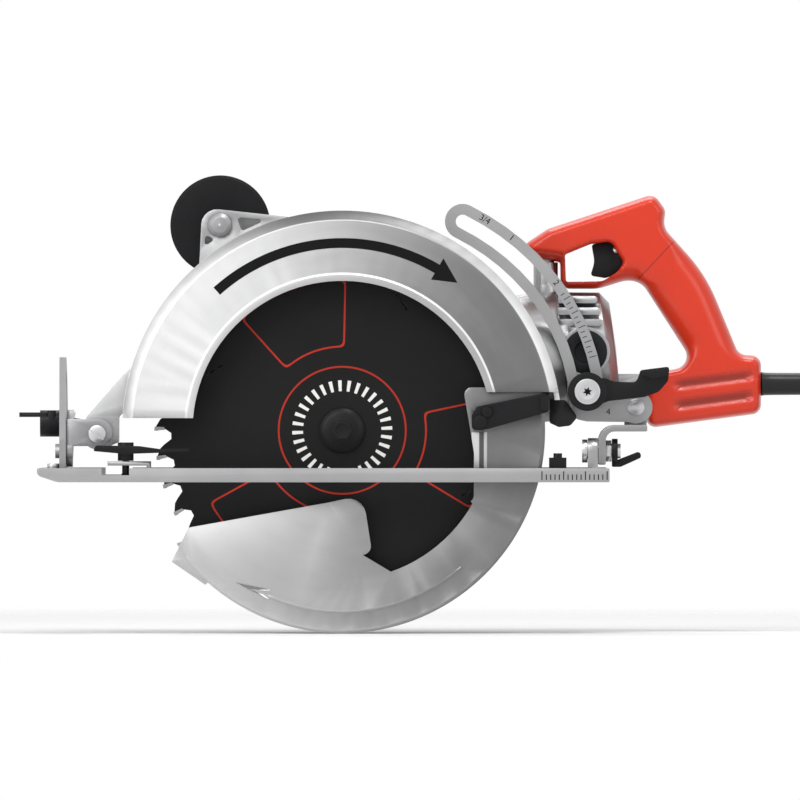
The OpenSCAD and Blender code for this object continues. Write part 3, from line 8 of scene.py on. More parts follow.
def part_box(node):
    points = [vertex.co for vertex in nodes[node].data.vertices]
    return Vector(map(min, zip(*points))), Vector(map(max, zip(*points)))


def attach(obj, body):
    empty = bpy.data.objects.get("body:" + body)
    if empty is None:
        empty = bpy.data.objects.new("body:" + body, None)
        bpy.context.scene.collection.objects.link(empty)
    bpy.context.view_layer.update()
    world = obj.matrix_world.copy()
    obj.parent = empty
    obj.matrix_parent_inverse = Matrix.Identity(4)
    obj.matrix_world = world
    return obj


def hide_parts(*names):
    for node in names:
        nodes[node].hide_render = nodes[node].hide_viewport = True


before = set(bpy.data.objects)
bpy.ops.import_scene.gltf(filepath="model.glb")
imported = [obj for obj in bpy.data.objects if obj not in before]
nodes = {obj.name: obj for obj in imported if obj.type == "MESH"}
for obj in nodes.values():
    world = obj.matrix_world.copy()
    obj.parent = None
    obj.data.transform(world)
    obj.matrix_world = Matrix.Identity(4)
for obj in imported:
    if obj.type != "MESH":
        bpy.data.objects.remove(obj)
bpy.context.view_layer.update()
mm = 0.001
bladeY = -72 * mm                      # plane of the blade
arborZ = 35.8 * mm                     # height of the arbor
groundZ = -104.6 * mm                  # the surface under the lower guard
printUnder = 0.02                      # how deep printed marks reach into their face, in millimetres
fullTurn = 2 * math.pi
scene = bpy.context.scene
scene.view_settings.view_transform = "Standard"
print("frame loaded:", len(nodes), "nodes")


# Camera level with the saw, square to the blade, from far away
cameraSet = {"aim": (40, -72, 56.8), "distance": 12000, "width": 554, "sensor": 36, "clip": 50000}


def addCamera(s):
    lens = bpy.data.cameras.new("camera")
    lens.sensor_width = s["sensor"]
    lens.lens = s["sensor"] * s["distance"] / s["width"]
    lens.clip_end = s["clip"] * mm
    cam = bpy.data.objects.new("camera", lens)
    cam.location = Vector(s["aim"]) * mm - Vector((0, s["distance"] * mm, 0))
    cam.rotation_euler = (math.radians(90), 0, 0)
    scene.collection.objects.link(cam)
    scene.camera = cam


addCamera(cameraSet)


# A socket that can be added, multiplied and compared like a number
class Wire:
    def __init__(self, tree, socket):
        self.tree, self.socket = tree, socket

    def make(self, kind, settings, values, out=0):
        node = self.tree.nodes.new(kind)
        for key, value in settings.items():
            setattr(node, key, value)
        for key, value in values.items():
            if isinstance(value, Wire):
                self.tree.links.new(value.socket, node.inputs[key])
            else:
                node.inputs[key].default_value = value
        return Wire(self.tree, node.outputs[out])

    def math(self, what, *values):
        return self.make("ShaderNodeMath", {"operation": what}, dict(enumerate((self,) + values)))

    def __add__(self, o):
        return self.math("ADD", o)

    def __sub__(self, o):
        return self.math("SUBTRACT", o)

    def __rsub__(self, o):
        return (self * -1.0) + o

    def __mul__(self, o):
        return self.math("MULTIPLY", o)

    __radd__ = __add__
    __rmul__ = __mul__

    def axes(self):
        split = self.make("ShaderNodeSeparateXYZ", {}, {"Vector": self})
        return [Wire(self.tree, o) for o in split.socket.node.outputs]

    def vector(self, x, y, z):
        return self.make("ShaderNodeCombineXYZ", {}, {"X": x, "Y": y, "Z": z})

    def noise(self, scale, detail, rough=0.55):
        return self.make("ShaderNodeTexNoise", {},
                         {"Vector": self, "Scale": scale, "Detail": detail, "Roughness": rough})

    # soft step that rises from 0 at a to 1 at b
    def step(self, a, b):
        return self.make("ShaderNodeMapRange", {"interpolation_type": "SMOOTHSTEP"},
                         {"Value": self, "From Min": a, "From Max": b})

    # a line of half width w round the value c
    def line(self, c, w, soft):
        return 1.0 - (self - c).math("ABSOLUTE").step(w, w + soft)

    # colour a where this is 0 and b where it is 1
    def mix(self, a, b):
        return self.make("ShaderNodeMix", {"data_type": "RGBA"}, {"Factor": self, 6: a, 7: b}, 2)


# A screen colour of 0 to 255 as the linear one that the shader takes
def rgb(*screen):
    def linear(c):
        return c / 255 / 12.92 if c < 10 else ((c / 255 + 0.055) / 1.055) ** 2.4
    return tuple(map(linear, screen)) + (1.0,)


# A linear grey with a blue of its own
def grey(value, blue):
    return (value, value, blue, 1)


# A finish: fixed values on the shader, and a function that wires what varies
def finish(name, fixed, wire):
    mat = bpy.data.materials.new(name)
    mat.use_nodes = True
    tree = mat.node_tree
    shader = tree.nodes["Principled BSDF"]
    for key, value in fixed.items():
        shader.inputs[key].default_value = value
    coord = tree.nodes.new("ShaderNodeTexCoord")
    place = Wire(tree, coord.outputs["Object"])
    for key, value in wire(place).items():
        if key == "Bump":
            height, strength, depth = value
            bump = {"Strength": strength, "Distance": depth, "Height": height}
            key, value = "Normal", place.make("ShaderNodeBump", {}, bump)
        tree.links.new(value.socket, shader.inputs[key])
    return mat


# Cast alloy: sand grain in the bump, slow tone changes, a satin gloss that wanders
castGrain = {"tone": 22, "grain": 1700, "pits": 420, "strength": 0.22, "depth": 0.00025}


def castWire(dark, light, gloss):
    s = castGrain

    def wire(p):
        tone = p.noise(s["tone"], 4)
        grain = p.noise(s["grain"], 2)
        pits = p.noise(s["pits"], 3)
        return {"Base Color": (tone * 0.75 + grain * 0.25).mix(dark, light),
                "Roughness": tone * 0.12 + grain * 0.08 + gloss,
                "Bump": (grain * 0.5 + pits, s["strength"], s["depth"])}
    return wire


# Spun alloy: fine rings round the arbor, broken up along the angle, and a painted highlight that lightens
# the face towards the front. Rings and broad are scales along radius, angle and y; the x where the painted
# highlight begins and where it is full are in metres
spunGrain = {"rings": (2600.0, 5.0, 900.0), "broad": (60.0, 1.6, 10.0), "grain": 1900,
             "waver": 0.03, "sheenNoneX": 0.115, "sheenFullX": -0.135, "strength": 0.16, "depth": 0.0002}

# Tones of the upper guard's lip, partly lighter machined metal and partly painted highlight, its painted
# highlight line, outer bevel and arms, by their radius in metres; the bevel's tone is painted light:
# painted shade at the top and a painted highlight along x towards both ends
guardMarks = {"lip": grey(0.50, 0.505), "lipTo": (0.1077, 0.1083), "lipShare": 0.6,
              "line": grey(0.72, 0.725), "highlightLineAt": (0.1084, 0.0005, 0.0005),
              "bevelShade": grey(0.12, 0.122), "bevelSheen": grey(0.60, 0.605), "bevelX": (0.02, 0.14),
              "bevelFrom": (0.1453, 0.1461),
              "armDark": grey(0.28, 0.284), "armLight": grey(0.40, 0.405), "armFrom": (0.1521, 0.1527)}


def spunWire(dark, light, sheenTone, gloss, marks=None):
    s = spunGrain

    def wire(p):
        x, y, z = p.axes()
        up = z - arborZ
        reach = (x * x + up * up).math("SQRT")
        turn = up.math("ARCTAN2", x)

        def streaks(scales, detail):
            return p.vector(*[v * k for v, k in zip((reach, turn, y), scales)]).noise(1.0, detail)

        rings = streaks(s["rings"], 3)
        broad = streaks(s["broad"], 2)
        grain = p.noise(s["grain"], 2)
        tint = (broad * 0.7 + rings * 0.3).mix(dark, light)
        # painted highlight: the face lightens towards the front, up to the sheen tone
        paintedSheen = (broad * s["waver"] - x).step(-s["sheenNoneX"], -s["sheenFullX"])
        tint = (paintedSheen * (0.85 + 0.15 * rings)).mix(tint, sheenTone)
        if marks:
            # painted light on the upper guard: a lip lightened partly by paint, a painted highlight line,
            # and a bevel with painted shade at the top and painted highlight at both ends
            tint = ((1.0 - reach.step(*marks["lipTo"])) * marks["lipShare"]).mix(tint, marks["lip"])
            tint = reach.line(*marks["highlightLineAt"]).mix(tint, marks["line"])
            bevel = x.math("ABSOLUTE").step(*marks["bevelX"]).mix(marks["bevelShade"], marks["bevelSheen"])
            tint = reach.step(*marks["bevelFrom"]).mix(tint, bevel)
            arms = broad.mix(marks["armDark"], marks["armLight"])
            tint = reach.step(*marks["armFrom"]).mix(tint, arms)
        return {"Base Color": tint,
                "Roughness": rings * 0.14 + broad * 0.1 + gloss,
                "Bump": (rings * 0.6 + grain * 0.6, s["strength"], s["depth"])}
    return wire


# Lower guard: the same rings, with a painted highlight on the upright fold under the lever's rivets and on
# its edge, and a painted shade line between them. Fold, edge and shade line are x, half width and softness;
# all lengths in metres
shroudFoldSheen = {"light": grey(0.70, 0.705), "dark": grey(0.06, 0.061), "sheenShare": 0.8, "shadeShare": 0.7,
               "face": (0.0120, 0.0124), "low": (0.004, 0.006), "high": (0.034, 0.035),
               "fold": (0.0921, 0.0022, 0.0007), "edge": (0.0992, 0.0007, 0.0006),
               "gap": (0.0963, 0.0008, 0.0010)}


def shroudWire(rings, s):
    def wire(p):
        made = rings(p)
        x, y, z = p.axes()
        near = (bladeY - y).step(*s["face"]) * z.step(*s["low"]) * (1.0 - z.step(*s["high"]))
        # painted highlight on the fold and its edge, painted shade on the line between them
        light = x.line(*s["fold"]).math("MAXIMUM", x.line(*s["edge"])) * near
        dark = x.line(*s["gap"]) * near
        tint = (light * s["sheenShare"]).mix(made["Base Color"], s["light"])
        made["Base Color"] = (dark * s["shadeShare"]).mix(tint, s["dark"])
        return made
    return wire


# Turned or ground steel: fine scratches, brighter than the castings
steelGrain = {"tone": 60, "scratch": (900.0, 250.0, 4200.0), "strength": 0.12, "depth": 0.00015}


def steelWire(dark, light, gloss):
    s = steelGrain

    def wire(p):
        tone = p.noise(s["tone"], 4)
        scratch = p.vector(*[v * k for v, k in zip(p.axes(), s["scratch"])]).noise(1.0, 2)
        return {"Base Color": (tone * 0.6 + scratch * 0.4).mix(dark, light),
                "Roughness": tone * 0.14 + scratch * 0.1 + gloss,
                "Bump": (scratch, s["strength"], s["depth"])}
    return wire


# Painted or moulded dark surfaces: fine texture, dusty tone changes
darkGrain = {"tone": 35, "depth": 0.0002}


def darkWire(dark, light, gloss, grainScale, strength):
    s = darkGrain

    def wire(p):
        tone = p.noise(s["tone"], 4)
        grain = p.noise(grainScale, 2)
        return {"Base Color": (tone * 0.8 + grain * 0.2).mix(dark, light),
                "Roughness": tone * 0.16 + grain * 0.08 + gloss,
                "Bump": (grain, strength, s["depth"])}
    return wire


# Red moulded handle: a parting line in the joint plane, a joint across the neck, painted shade in the
# base's grooves and a faint moulded texture. Lines are place, half width and softness, in metres
handleTone = {"dark": rgb(194, 40, 12), "light": rgb(211, 53, 19), "line": rgb(120, 24, 14),
              "shade": rgb(110, 30, 18), "share": 0.7, "tone": 18, "grain": 2200,
              "parting": (0.0, 0.00018, 0.00018), "neck": (0.0, 0.0003, 0.0003),
              "neckAt": (0.2283, 0.1648), "neckWay": (0.729, 0.684),
              "baseX": 0.211, "rise": 0.131, "lowGroove": (0.0505, 0.0008, 0.0032),
              "highGroove": (0.0645, 0.0008, 0.0032), "grooveFront": (0.228, 0.238),
              "grooveRear": (0.278, 0.289), "strength": 0.2, "depth": 0.0003}


def handleWire(p):
    s = handleTone
    x, y, z = p.axes()
    across = (x - s["neckAt"][0]) * s["neckWay"][0] - (z - s["neckAt"][1]) * s["neckWay"][1]
    seam = y.line(*s["parting"]).math("MAXIMUM", across.line(*s["neck"]))
    tone = p.noise(s["tone"], 3)
    grain = p.noise(s["grain"], 2)
    base = (tone * 0.8 + grain * 0.2).mix(s["dark"], s["light"])
    slope = z - (x - s["baseX"]) * s["rise"]
    # painted shade along the base's two grooves
    grooveShade = slope.line(*s["lowGroove"]).math("MAXIMUM", slope.line(*s["highGroove"]))
    grooveShade = grooveShade * x.step(*s["grooveFront"]) * (1.0 - x.step(*s["grooveRear"]))
    base = (grooveShade * s["share"]).mix(base, s["shade"])
    return {"Base Color": (seam * s["share"]).mix(base, s["line"]),
            "Roughness": tone * 0.1 + grain * 0.1 + 0.2,
            "Bump": (grain * 0.25 - seam * 2.0, s["strength"], s["depth"])}


# Blade: dark coat with fine rings, thin red sector outlines and a ring of white marks. Lengths are in
# millimetres, the face in metres
bladePrint = {"sectors": 3, "sectorTurn": 0.58, "inner": 58, "outer": 104, "share": 0.36, "corner": 6.0,
              "lineHalf": 0.5, "soft": 0.25, "hub": 44.0, "hubShare": 0.9,
              "marks": 32, "markTurn": 0.25, "markIn": (27, 27.3), "markOut": (34.5, 34.8),
              "markHalf": 0.17, "markSoft": 0.03, "face": (0.0006, 0.0007),
              "red": rgb(176, 50, 36), "white": rgb(226, 226, 222),
              "dark": rgb(16, 16, 17), "light": rgb(30, 30, 31)}


def bladeWire(p):
    s = bladePrint
    x, y, z = p.axes()
    up = z - arborZ
    reach = (x * x + up * up).math("SQRT") * 1000.0
    turn = up.math("ARCTAN2", x)
    face = (y - bladeY).math("ABSOLUTE").step(*s["face"])
    # distance inside a sector: the smaller of the ways to its straight and to its round sides
    part = (turn * (s["sectors"] / fullTurn) + s["sectorTurn"]).math("FRACT") - 0.5
    edge = (s["share"] / 2 - part.math("ABSOLUTE")) * reach * (fullTurn / s["sectors"])
    mid, half = (s["inner"] + s["outer"]) / 2, (s["outer"] - s["inner"]) / 2
    depth = half - (reach - mid).math("ABSOLUTE")
    red = edge.math("SMOOTH_MIN", depth, s["corner"]).line(0.0, s["lineHalf"], s["soft"])
    hub = reach.line(s["hub"], s["lineHalf"], s["soft"]) * s["hubShare"]
    tick = (turn * (s["marks"] / fullTurn) + s["markTurn"]).math("FRACT") - 0.5
    inRing = reach.step(*s["markIn"]) * (1.0 - reach.step(*s["markOut"]))
    white = tick.line(0.0, s["markHalf"], s["markSoft"]) * inRing
    rings = p.vector(reach * 2.2, turn * 4.0, 0.0).noise(1.0, 3)
    tone = p.noise(30, 3)
    coat = (rings * 0.5 + tone * 0.5).mix(s["dark"], s["light"])
    printed = (red.math("MAXIMUM", hub) * face).mix(coat, s["red"])
    return {"Base Color": (white * face).mix(printed, s["white"]),
            "Roughness": rings * 0.16 + 0.36,
            "Bump": (rings, 0.12, 0.0002)}


# Front grip's rubber: ribs along its length, pitch in metres
gripRibs = {"pitch": 0.004, "grain": 1500, "tone": 40, "strength": 0.35, "depth": 0.0006}


def ribWire(p):
    s = gripRibs
    x, y, z = p.axes()
    rib = (y * (fullTurn / s["pitch"])).math("SINE")
    grain = p.noise(s["grain"], 2)
    tone = p.noise(s["tone"], 3)
    return {"Base Color": (tone * 0.7 + grain * 0.3).mix(rgb(14, 14, 15), rgb(30, 30, 32)),
            "Roughness": tone * 0.15 + 0.5,
            "Bump": (rib * 0.5 + grain * 0.25, s["strength"], s["depth"])}


def dull(level):
    return {"Specular IOR Level": level}


# Each finish: fixed values, then dark and light tones, for spun ones the tone of their painted highlight,
# gloss, and for dark ones grain and its strength
metal = {"Metallic": 1.0}
redGloss = {"Specular IOR Level": 0.4, "Coat Weight": 0.12, "Coat Roughness": 0.12}
guardRings = spunWire(grey(0.13, 0.132), grey(0.19, 0.193), grey(0.60, 0.605), 0.34, guardMarks)
shroudRings = spunWire(grey(0.15, 0.152), grey(0.20, 0.203), grey(0.50, 0.505), 0.28)
finishSet = {
    "castAlloy": (metal, castWire(grey(0.22, 0.225), grey(0.32, 0.325), 0.34)),
    "brightCast": (metal, castWire(grey(0.30, 0.305), grey(0.40, 0.405), 0.28)),
    "spunGuard": (metal, guardRings),
    "spunShroud": (metal, shroudWire(shroudRings, shroudFoldSheen)),
    "satinSteel": (metal, steelWire(grey(0.42, 0.43), grey(0.62, 0.63), 0.22)),
    "blackPaint": (dull(0.16), darkWire(rgb(14, 14, 15), rgb(30, 30, 32), 0.28, 1300, 0.2)),
    "blackPlastic": (dull(0.16), darkWire(rgb(16, 17, 18), rgb(32, 33, 35), 0.36, 1800, 0.3)),
    "gripRubber": (dull(0.12), ribWire),
    "leadRubber": (dull(0.3), darkWire(rgb(14, 14, 15), rgb(30, 30, 31), 0.24, 900, 0.2)),
    "redPlastic": (redGloss, handleWire),
    "bladeCoat": (dull(0.12), bladeWire),
    "bronze": (metal, steelWire((0.40, 0.25, 0.10, 1), (0.58, 0.38, 0.17, 1), 0.28)),
    "copper": (metal, steelWire((0.55, 0.24, 0.12, 1), (0.76, 0.38, 0.22, 1), 0.26)),
    "carbide": (metal, steelWire(grey(0.26, 0.27), grey(0.40, 0.41), 0.34)),
    "blackPrint": (dull(0.1), darkWire(rgb(8, 8, 9), rgb(18, 18, 19), 0.42, 1500, 0.1)),
    "tieStrap": ({}, darkWire(rgb(18, 18, 19), rgb(46, 46, 48), 0.75, 2600, 0.8)),
}
finishes = {name: finish(name, *made) for name, made in finishSet.items()}
print("finishes made:", len(finishes))


# Puts points and faces into a mesh at the origin, on a body
def addPiece(name, points, faces, body, look, slot, smooth=True):
    mesh = bpy.data.meshes.new(name)
    mesh.from_pydata(np.asarray(points, float).tolist(), [], [list(map(int, f)) for f in faces])
    mesh.update()
    mesh.polygons.foreach_set("use_smooth", np.full(len(mesh.polygons), smooth))
    obj = bpy.data.objects.new(name, mesh)
    mesh.materials.append(finishes[look])
    scene.collection.objects.link(obj)
    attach(obj, body)
    return obj


# Angles of n even steps round a circle
def around(n):
    return np.linspace(0, fullTurn, n, endpoint=False)


# Faces of a grid of n rows of m points, each row closed on itself, with the ends capped
def tubeFaces(n, m):
    i, j = np.meshgrid(np.arange(n - 1), np.arange(m), indexing="ij")
    a, b = i * m + j, i * m + (j + 1) % m
    faces = np.stack([a, b, b + m, a + m], -1).reshape(-1, 4).tolist()
    return faces + [list(range(m - 1, -1, -1)), list(range((n - 1) * m, n * m))]


# Points at even steps along a smooth curve through the given ones: between each two a cubic in t,
# whose slope at a point is half the way from the point before to the point after
def smoothPath(points, step, fineSteps=24):
    p = np.asarray(points, float)
    q = np.vstack([2 * p[:1] - p[1:2], p, 2 * p[-1:] - p[-2:-1]])
    t = np.linspace(0, 1, fineSteps, endpoint=False)[:, None, None]
    a, b, c, d = q[:-3], q[1:-2], q[2:-1], q[3:]
    square, cube = 2 * a - 5 * b + 4 * c - d, 3 * b - a - 3 * c + d
    cubic = 0.5 * (2 * b + (c - a) * t + square * t ** 2 + cube * t ** 3)
    fine = np.vstack([cubic.transpose(1, 0, 2).reshape(-1, 3), p[-1:]])
    run = np.concatenate([[0], np.cumsum(np.linalg.norm(np.diff(fine, axis=0), axis=1))])
    even = np.linspace(0, run[-1], int(run[-1] / step) + 1)
    return np.stack([np.interp(even, run, fine[:, k]) for k in range(3)], 1), run[-1]


# A round section along a path: point = path + radius * (side cos a + other sin a)
def sweepRound(path, radius, sides):
    tangent = np.gradient(path, axis=0)
    tangent /= np.linalg.norm(tangent, axis=1)[:, None]
    ref = np.array([0.0, 1.0, 0.0])
    carried = []
    for t in tangent:                       # the side goes along the path without twist
        ref = ref - t * (ref @ t)
        ref /= np.linalg.norm(ref)
        carried.append(ref)
    side = np.array(carried)
    other = np.cross(tangent, side)
    a = around(sides)
    ring = side[:, None, :] * np.cos(a)[None, :, None] + other[:, None, :] * np.sin(a)[None, :, None]
    return (path[:, None, :] + radius * ring).reshape(-1, 3)


# Lead: out of the handle, down to the floor, and put away in a flat coil beside the saw
leadSet = {"diameter": 10, "sides": 16, "step": 2.5, "coilZ": -98.7, "layer": 10.6, "mid": (470.8, 30),
           "turns": 5.5, "perTurn": 24, "start": 38, "middle": 3, "climbHalf": 0.25,
           "tailSteps": 5, "tailStep": 12.0,
           "route": [[337, 0, 68], [347, 0, 68], [360, -1, 65.3], [372, -3, 59], [383, -6, 49],
                     [391, -10, 36], [397, -15, 20], [400, -20, 3], [401, -25, -15], [401, -29, -33],
                     [401, -31.5, -48], [401, -31.5, -61], [401, -28.5, -72.5], [401, -22.5, -82.5],
                     [401, -14, -90.5], [401, -3, -96], [401, 9, -98.7], [401, 20, -98.7]]}


# Coil: x, y = mid + r (cos a, sin a), where r falls by a layer each turn down to the middle turn and
# grows again after it, and half a turn there climbs to the next layer
def leadPath(s):
    t = np.arange(0, s["turns"] + 0.001, 1 / s["perTurn"])
    a = np.radians(180 - 360 * t)
    r = s["start"] + s["layer"] * np.abs(t - s["middle"])
    climb = np.clip((t - s["middle"] + s["climbHalf"]) / (2 * s["climbHalf"]), 0, 1)
    z = s["coilZ"] + s["layer"] * climb
    coil = np.stack([s["mid"][0] + r * np.cos(a), s["mid"][1] + r * np.sin(a), z], 1)
    tail = coil[-1] + np.outer(np.arange(1, s["tailSteps"] + 1) * s["tailStep"], [0, -1, 0])
    return smoothPath(np.vstack([np.array(s["route"], float), coil, tail]) * mm, s["step"] * mm)


leadPoints, leadLength = leadPath(leadSet)
leadRadius = leadSet["diameter"] / 2 * mm
lead = addPiece("lead", sweepRound(leadPoints, leadRadius, leadSet["sides"]),
                tubeFaces(len(leadPoints), leadSet["sides"]), "saw", "leadRubber", "rubber")
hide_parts("cord_lead", "cord_coil")


# A profile of radius r and distance h turned about an axis: point = origin + h d + r (u cos a + v sin a)
def turned(profile, origin, direction, sides=48):
    profile = np.asarray(profile, float) * mm
    d = np.asarray(direction, float)
    u = np.cross(d, [0.0, 0.0, 1.0] if abs(d[2]) < 0.9 else [1.0, 0.0, 0.0])
    u /= np.linalg.norm(u)
    v = np.cross(d, u)
    a = around(sides)
    ring = np.cos(a)[:, None] * u + np.sin(a)[:, None] * v
    axis = np.asarray(origin, float) * mm + profile[:, 1, None] * d
    rows = profile[:, 0, None, None] * ring[None] + axis[:, None, :]
    return rows.reshape(-1, 3), tubeFaces(len(profile), sides)


# A block with its eight corners, from low to high, in millimetres
def blockOf(low, high):
    l, h = np.asarray(low, float) * mm, np.asarray(high, float) * mm
    pick = np.array([[0, 0, 0], [1, 0, 0], [1, 1, 0], [0, 1, 0],
                     [0, 0, 1], [1, 0, 1], [1, 1, 1], [0, 1, 1]])
    faces = [[3, 2, 1, 0], [4, 5, 6, 7], [0, 1, 5, 4], [1, 2, 6, 5], [2, 3, 7, 6], [3, 0, 4, 7]]
    return l + pick * (h - l), faces


# Several meshes joined into one list of points and faces
def joined(*meshes):
    points, faces, n = [], [], 0
    for p, f in meshes:
        points.append(p)
        faces += [[i + n for i in q] for q in f]
        n += len(p)
    return np.vstack(points), faces


# Plug on the lead's end: ribbed body with three prongs, lying on the floor
plugSet = {"at": (535.3, -30, -88.1), "way": (0, -1, 0), "length": 38, "sunk": 0.2,
           "spread": 6.35, "flatHalf": 0.75, "flatLong": 17, "flatLow": -2, "flatHigh": 4.3,
           "pinDrop": 7, "pinSides": 20,
           "pin": [[0.01, -0.2], [2.4, -0.2], [2.4, 16], [1.8, 18.2], [0.6, 19], [0.01, 19]],
           "body": [[0.01, 0], [6.4, 0], [6.8, 2.5], [6.2, 3.2], [7.2, 5.5], [6.7, 6.2], [7.9, 9],
                    [9.5, 11], [13.2, 15], [15.6, 16.6], [16.4, 18.5], [16.5, 20], [15.7, 20.6],
                    [15.7, 22.4], [16.5, 23], [16.5, 25], [15.7, 25.6], [15.7, 27.4], [16.5, 28],
                    [16.4, 35], [15.8, 37], [14.6, 38], [0.01, 38]]}


def addPlug(s):
    x, y, z = s["at"]
    bodyMesh = turned(s["body"], s["at"], s["way"])
    body = addPiece("plugBody", *bodyMesh, "saw", "blackPlastic", "black_plastic")
    face = y - s["length"]
    flats = [blockOf((mid - s["flatHalf"], face - s["flatLong"], z + s["flatLow"]),
                     (mid + s["flatHalf"], face + s["sunk"], z + s["flatHigh"]))
             for mid in (x - s["spread"], x + s["spread"])]
    pin = turned(s["pin"], (x, face, z - s["pinDrop"]), s["way"], s["pinSides"])
    prongs = addPiece("plugProngs", *joined(*flats, pin), "saw", "bronze", "bronze", smooth=False)
    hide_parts("plug")
    return body, prongs


plugBody, plugProngs = addPlug(plugSet)


# Tie: a flat strap carried round the coil's bundle
tieSet = {"thick": 1.3, "half": 6, "square": 0.42, "points": 96}


# Superellipse: y = mid + ry sign(cos a) |cos a| ** square, and z the same with the sine
def addTie(s):
    low, high = (np.array(v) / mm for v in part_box("cord_tie"))
    mid = (low + high) / 2
    n = s["points"]
    a = around(n)

    def row(x, inset):
        ry, rz = (high[1] - low[1]) / 2 - inset, (high[2] - low[2]) / 2 - inset
        y = np.sign(np.cos(a)) * np.abs(np.cos(a)) ** s["square"] * ry + mid[1]
        z = np.sign(np.sin(a)) * np.abs(np.sin(a)) ** s["square"] * rz + mid[2]
        return np.stack([np.full(n, x), y, z], 1)

    left, right = mid[0] - s["half"], mid[0] + s["half"]
    corners = ((left, 0), (right, 0), (right, s["thick"]), (left, s["thick"]))
    points = np.vstack([row(*c) for c in corners]) * mm
    i, j = np.meshgrid(np.arange(4), np.arange(n), indexing="ij")
    nextRow, nextPoint = (i + 1) % 4 * n, (j + 1) % n
    quads = np.stack([i * n + j, nextRow + j, nextRow + nextPoint, i * n + nextPoint], -1).reshape(-1, 4)
    tie = addPiece("leadTie", points, quads[:, ::-1].tolist(), "saw", "tieStrap", "tie", smooth=False)
    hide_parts("cord_tie")
    return tie


leadTie = addTie(tieSet)
print("lead made:", round(float(leadLength), 3), "m")


# CAD solids that stay: each gets a finish, its loose triangles welded and its edges rounded or split
nodeLooks = {
    "castAlloy": ["gear_housing", "gear_cover", "rear_bracket", "bevel_quadrant", "front_carriage",
                  "fence_clamp", "front_grip_bolt"],
    "brightCast": ["foot_plate", "depth_link", "motor_housing", "end_bell"],
    "spunGuard": ["upper_guard"],
    "spunShroud": ["lower_guard"],
    "satinSteel": ["foot_screws", "bevel_bolt", "depth_pivot_screw", "rear_hinge_bolt", "link_pin",
                   "case_screws", "field_core", "depth_bolt", "depth_lever_screw", "motor_bearings",
                   "arbor_bearings", "spindle", "guard_spring", "worm_shaft", "rotor_core",
                   "inner_flange", "oil_plug"],
    "blackPaint": ["outer_flange", "arbor_bolt", "guard_lever", "bevel_lever", "rear_bevel_lever",
                   "depth_lever", "fence_lever", "guard_rivets", "bevel_stop", "spindle_lock"],
    "blackPlastic": ["brush_caps", "trigger", "switch_block", "fan"],
    "gripRubber": ["front_grip"],
    "leadRubber": ["guard_bumper"],
    "bronze": ["worm_wheel", "brush_sets"],
    "copper": ["field_coils", "commutator"],
    "bladeCoat": ["blade"],
}
edgeSet = {"weld": 2e-6, "usual": 0.3, "segments": 2, "roundAngle": 24, "splitAngle": 30}
# Rounding in millimetres where it isn't the usual one; 0 leaves the edges sharp
edgeRound = {"upper_guard": 0.25, "lower_guard": 0.5, "foot_plate": 0.5, "depth_lever": 0.8,
             "guard_lever": 0.8, "trigger": 1.0, "end_bell": 0.6, "motor_housing": 0.6, "gear_housing": 0.8,
             "gear_cover": 0.6, "front_carriage": 0.6, "blade": 0, "depth_link": 0, "bevel_quadrant": 0}


def splitEdges(obj, angle):
    split = obj.modifiers.new("crisp", "EDGE_SPLIT")
    split.split_angle = math.radians(angle)


def dressNode(name, look, s):
    obj = nodes[name]
    obj.data.materials.clear()
    obj.data.materials.append(finishes[look])
    weld = obj.modifiers.new("weld", "WELD")
    weld.merge_threshold = s["weld"]
    width = edgeRound.get(name, s["usual"])
    if width:
        bevel = obj.modifiers.new("edges", "BEVEL")
        bevel.width = width * mm
        bevel.segments = s["segments"]
        bevel.limit_method = "ANGLE"
        bevel.angle_limit = math.radians(s["roundAngle"])
        bevel.use_clamp_overlap = True
        bevel.harden_normals = True
    else:
        splitEdges(obj, s["splitAngle"])
    obj.data.polygons.foreach_set("use_smooth", np.full(len(obj.data.polygons), True))


for look, names in nodeLooks.items():
    for name in names:
        dressNode(name, look, edgeSet)
print("nodes dressed:", sum(map(len, nodeLooks.values())))


# An outline of corners x, z and radius: every corner is an arc that touches both its sides
def roundedOutline(corners, n=9):
    c = np.asarray(corners, float)
    p, r = c[:, :2], c[:, 2]
    u, v = np.roll(p, 1, 0) - p, np.roll(p, -1, 0) - p
    u /= np.linalg.norm(u, axis=1)[:, None]
    v /= np.linalg.norm(v, axis=1)[:, None]
    half = np.arccos(np.clip((u * v).sum(1), -1, 1)) / 2
    mid = p + (u + v) / np.linalg.norm(u + v, axis=1)[:, None] * (r / np.sin(half))[:, None]
    s, e = p + u * (r / np.tan(half))[:, None] - mid, p + v * (r / np.tan(half))[:, None] - mid
    turn = np.arctan2(s[:, 0] * e[:, 1] - s[:, 1] * e[:, 0], (s * e).sum(1))
    a = np.arctan2(s[:, 1], s[:, 0])[:, None] + turn[:, None] * np.linspace(0, 1, n)
    return (mid[:, None, :] + r[:, None, None] * np.stack([np.cos(a), np.sin(a)], -1)).reshape(-1, 2)


# A closed outline walked again in even steps
def evenLoop(loop, step):
    closed = np.vstack([loop, loop[:1]])
    run = np.concatenate([[0], np.cumsum(np.linalg.norm(np.diff(closed, axis=0), axis=1))])
    at = np.linspace(0, run[-1], int(run[-1] / step), endpoint=False)
    return np.stack([np.interp(at, run, closed[:, k]) for k in (0, 1)], 1)


# Distance of each point from a closed outline
def edgeDistance(points, loop):
    a, b = loop, np.roll(loop, -1, 0)
    ab = b - a
    t = np.clip(((points[:, None] - a) * ab).sum(2) / (ab * ab).sum(1), 0, 1)
    return np.linalg.norm(points[:, None] - a - t[..., None] * ab, axis=2).min(1)


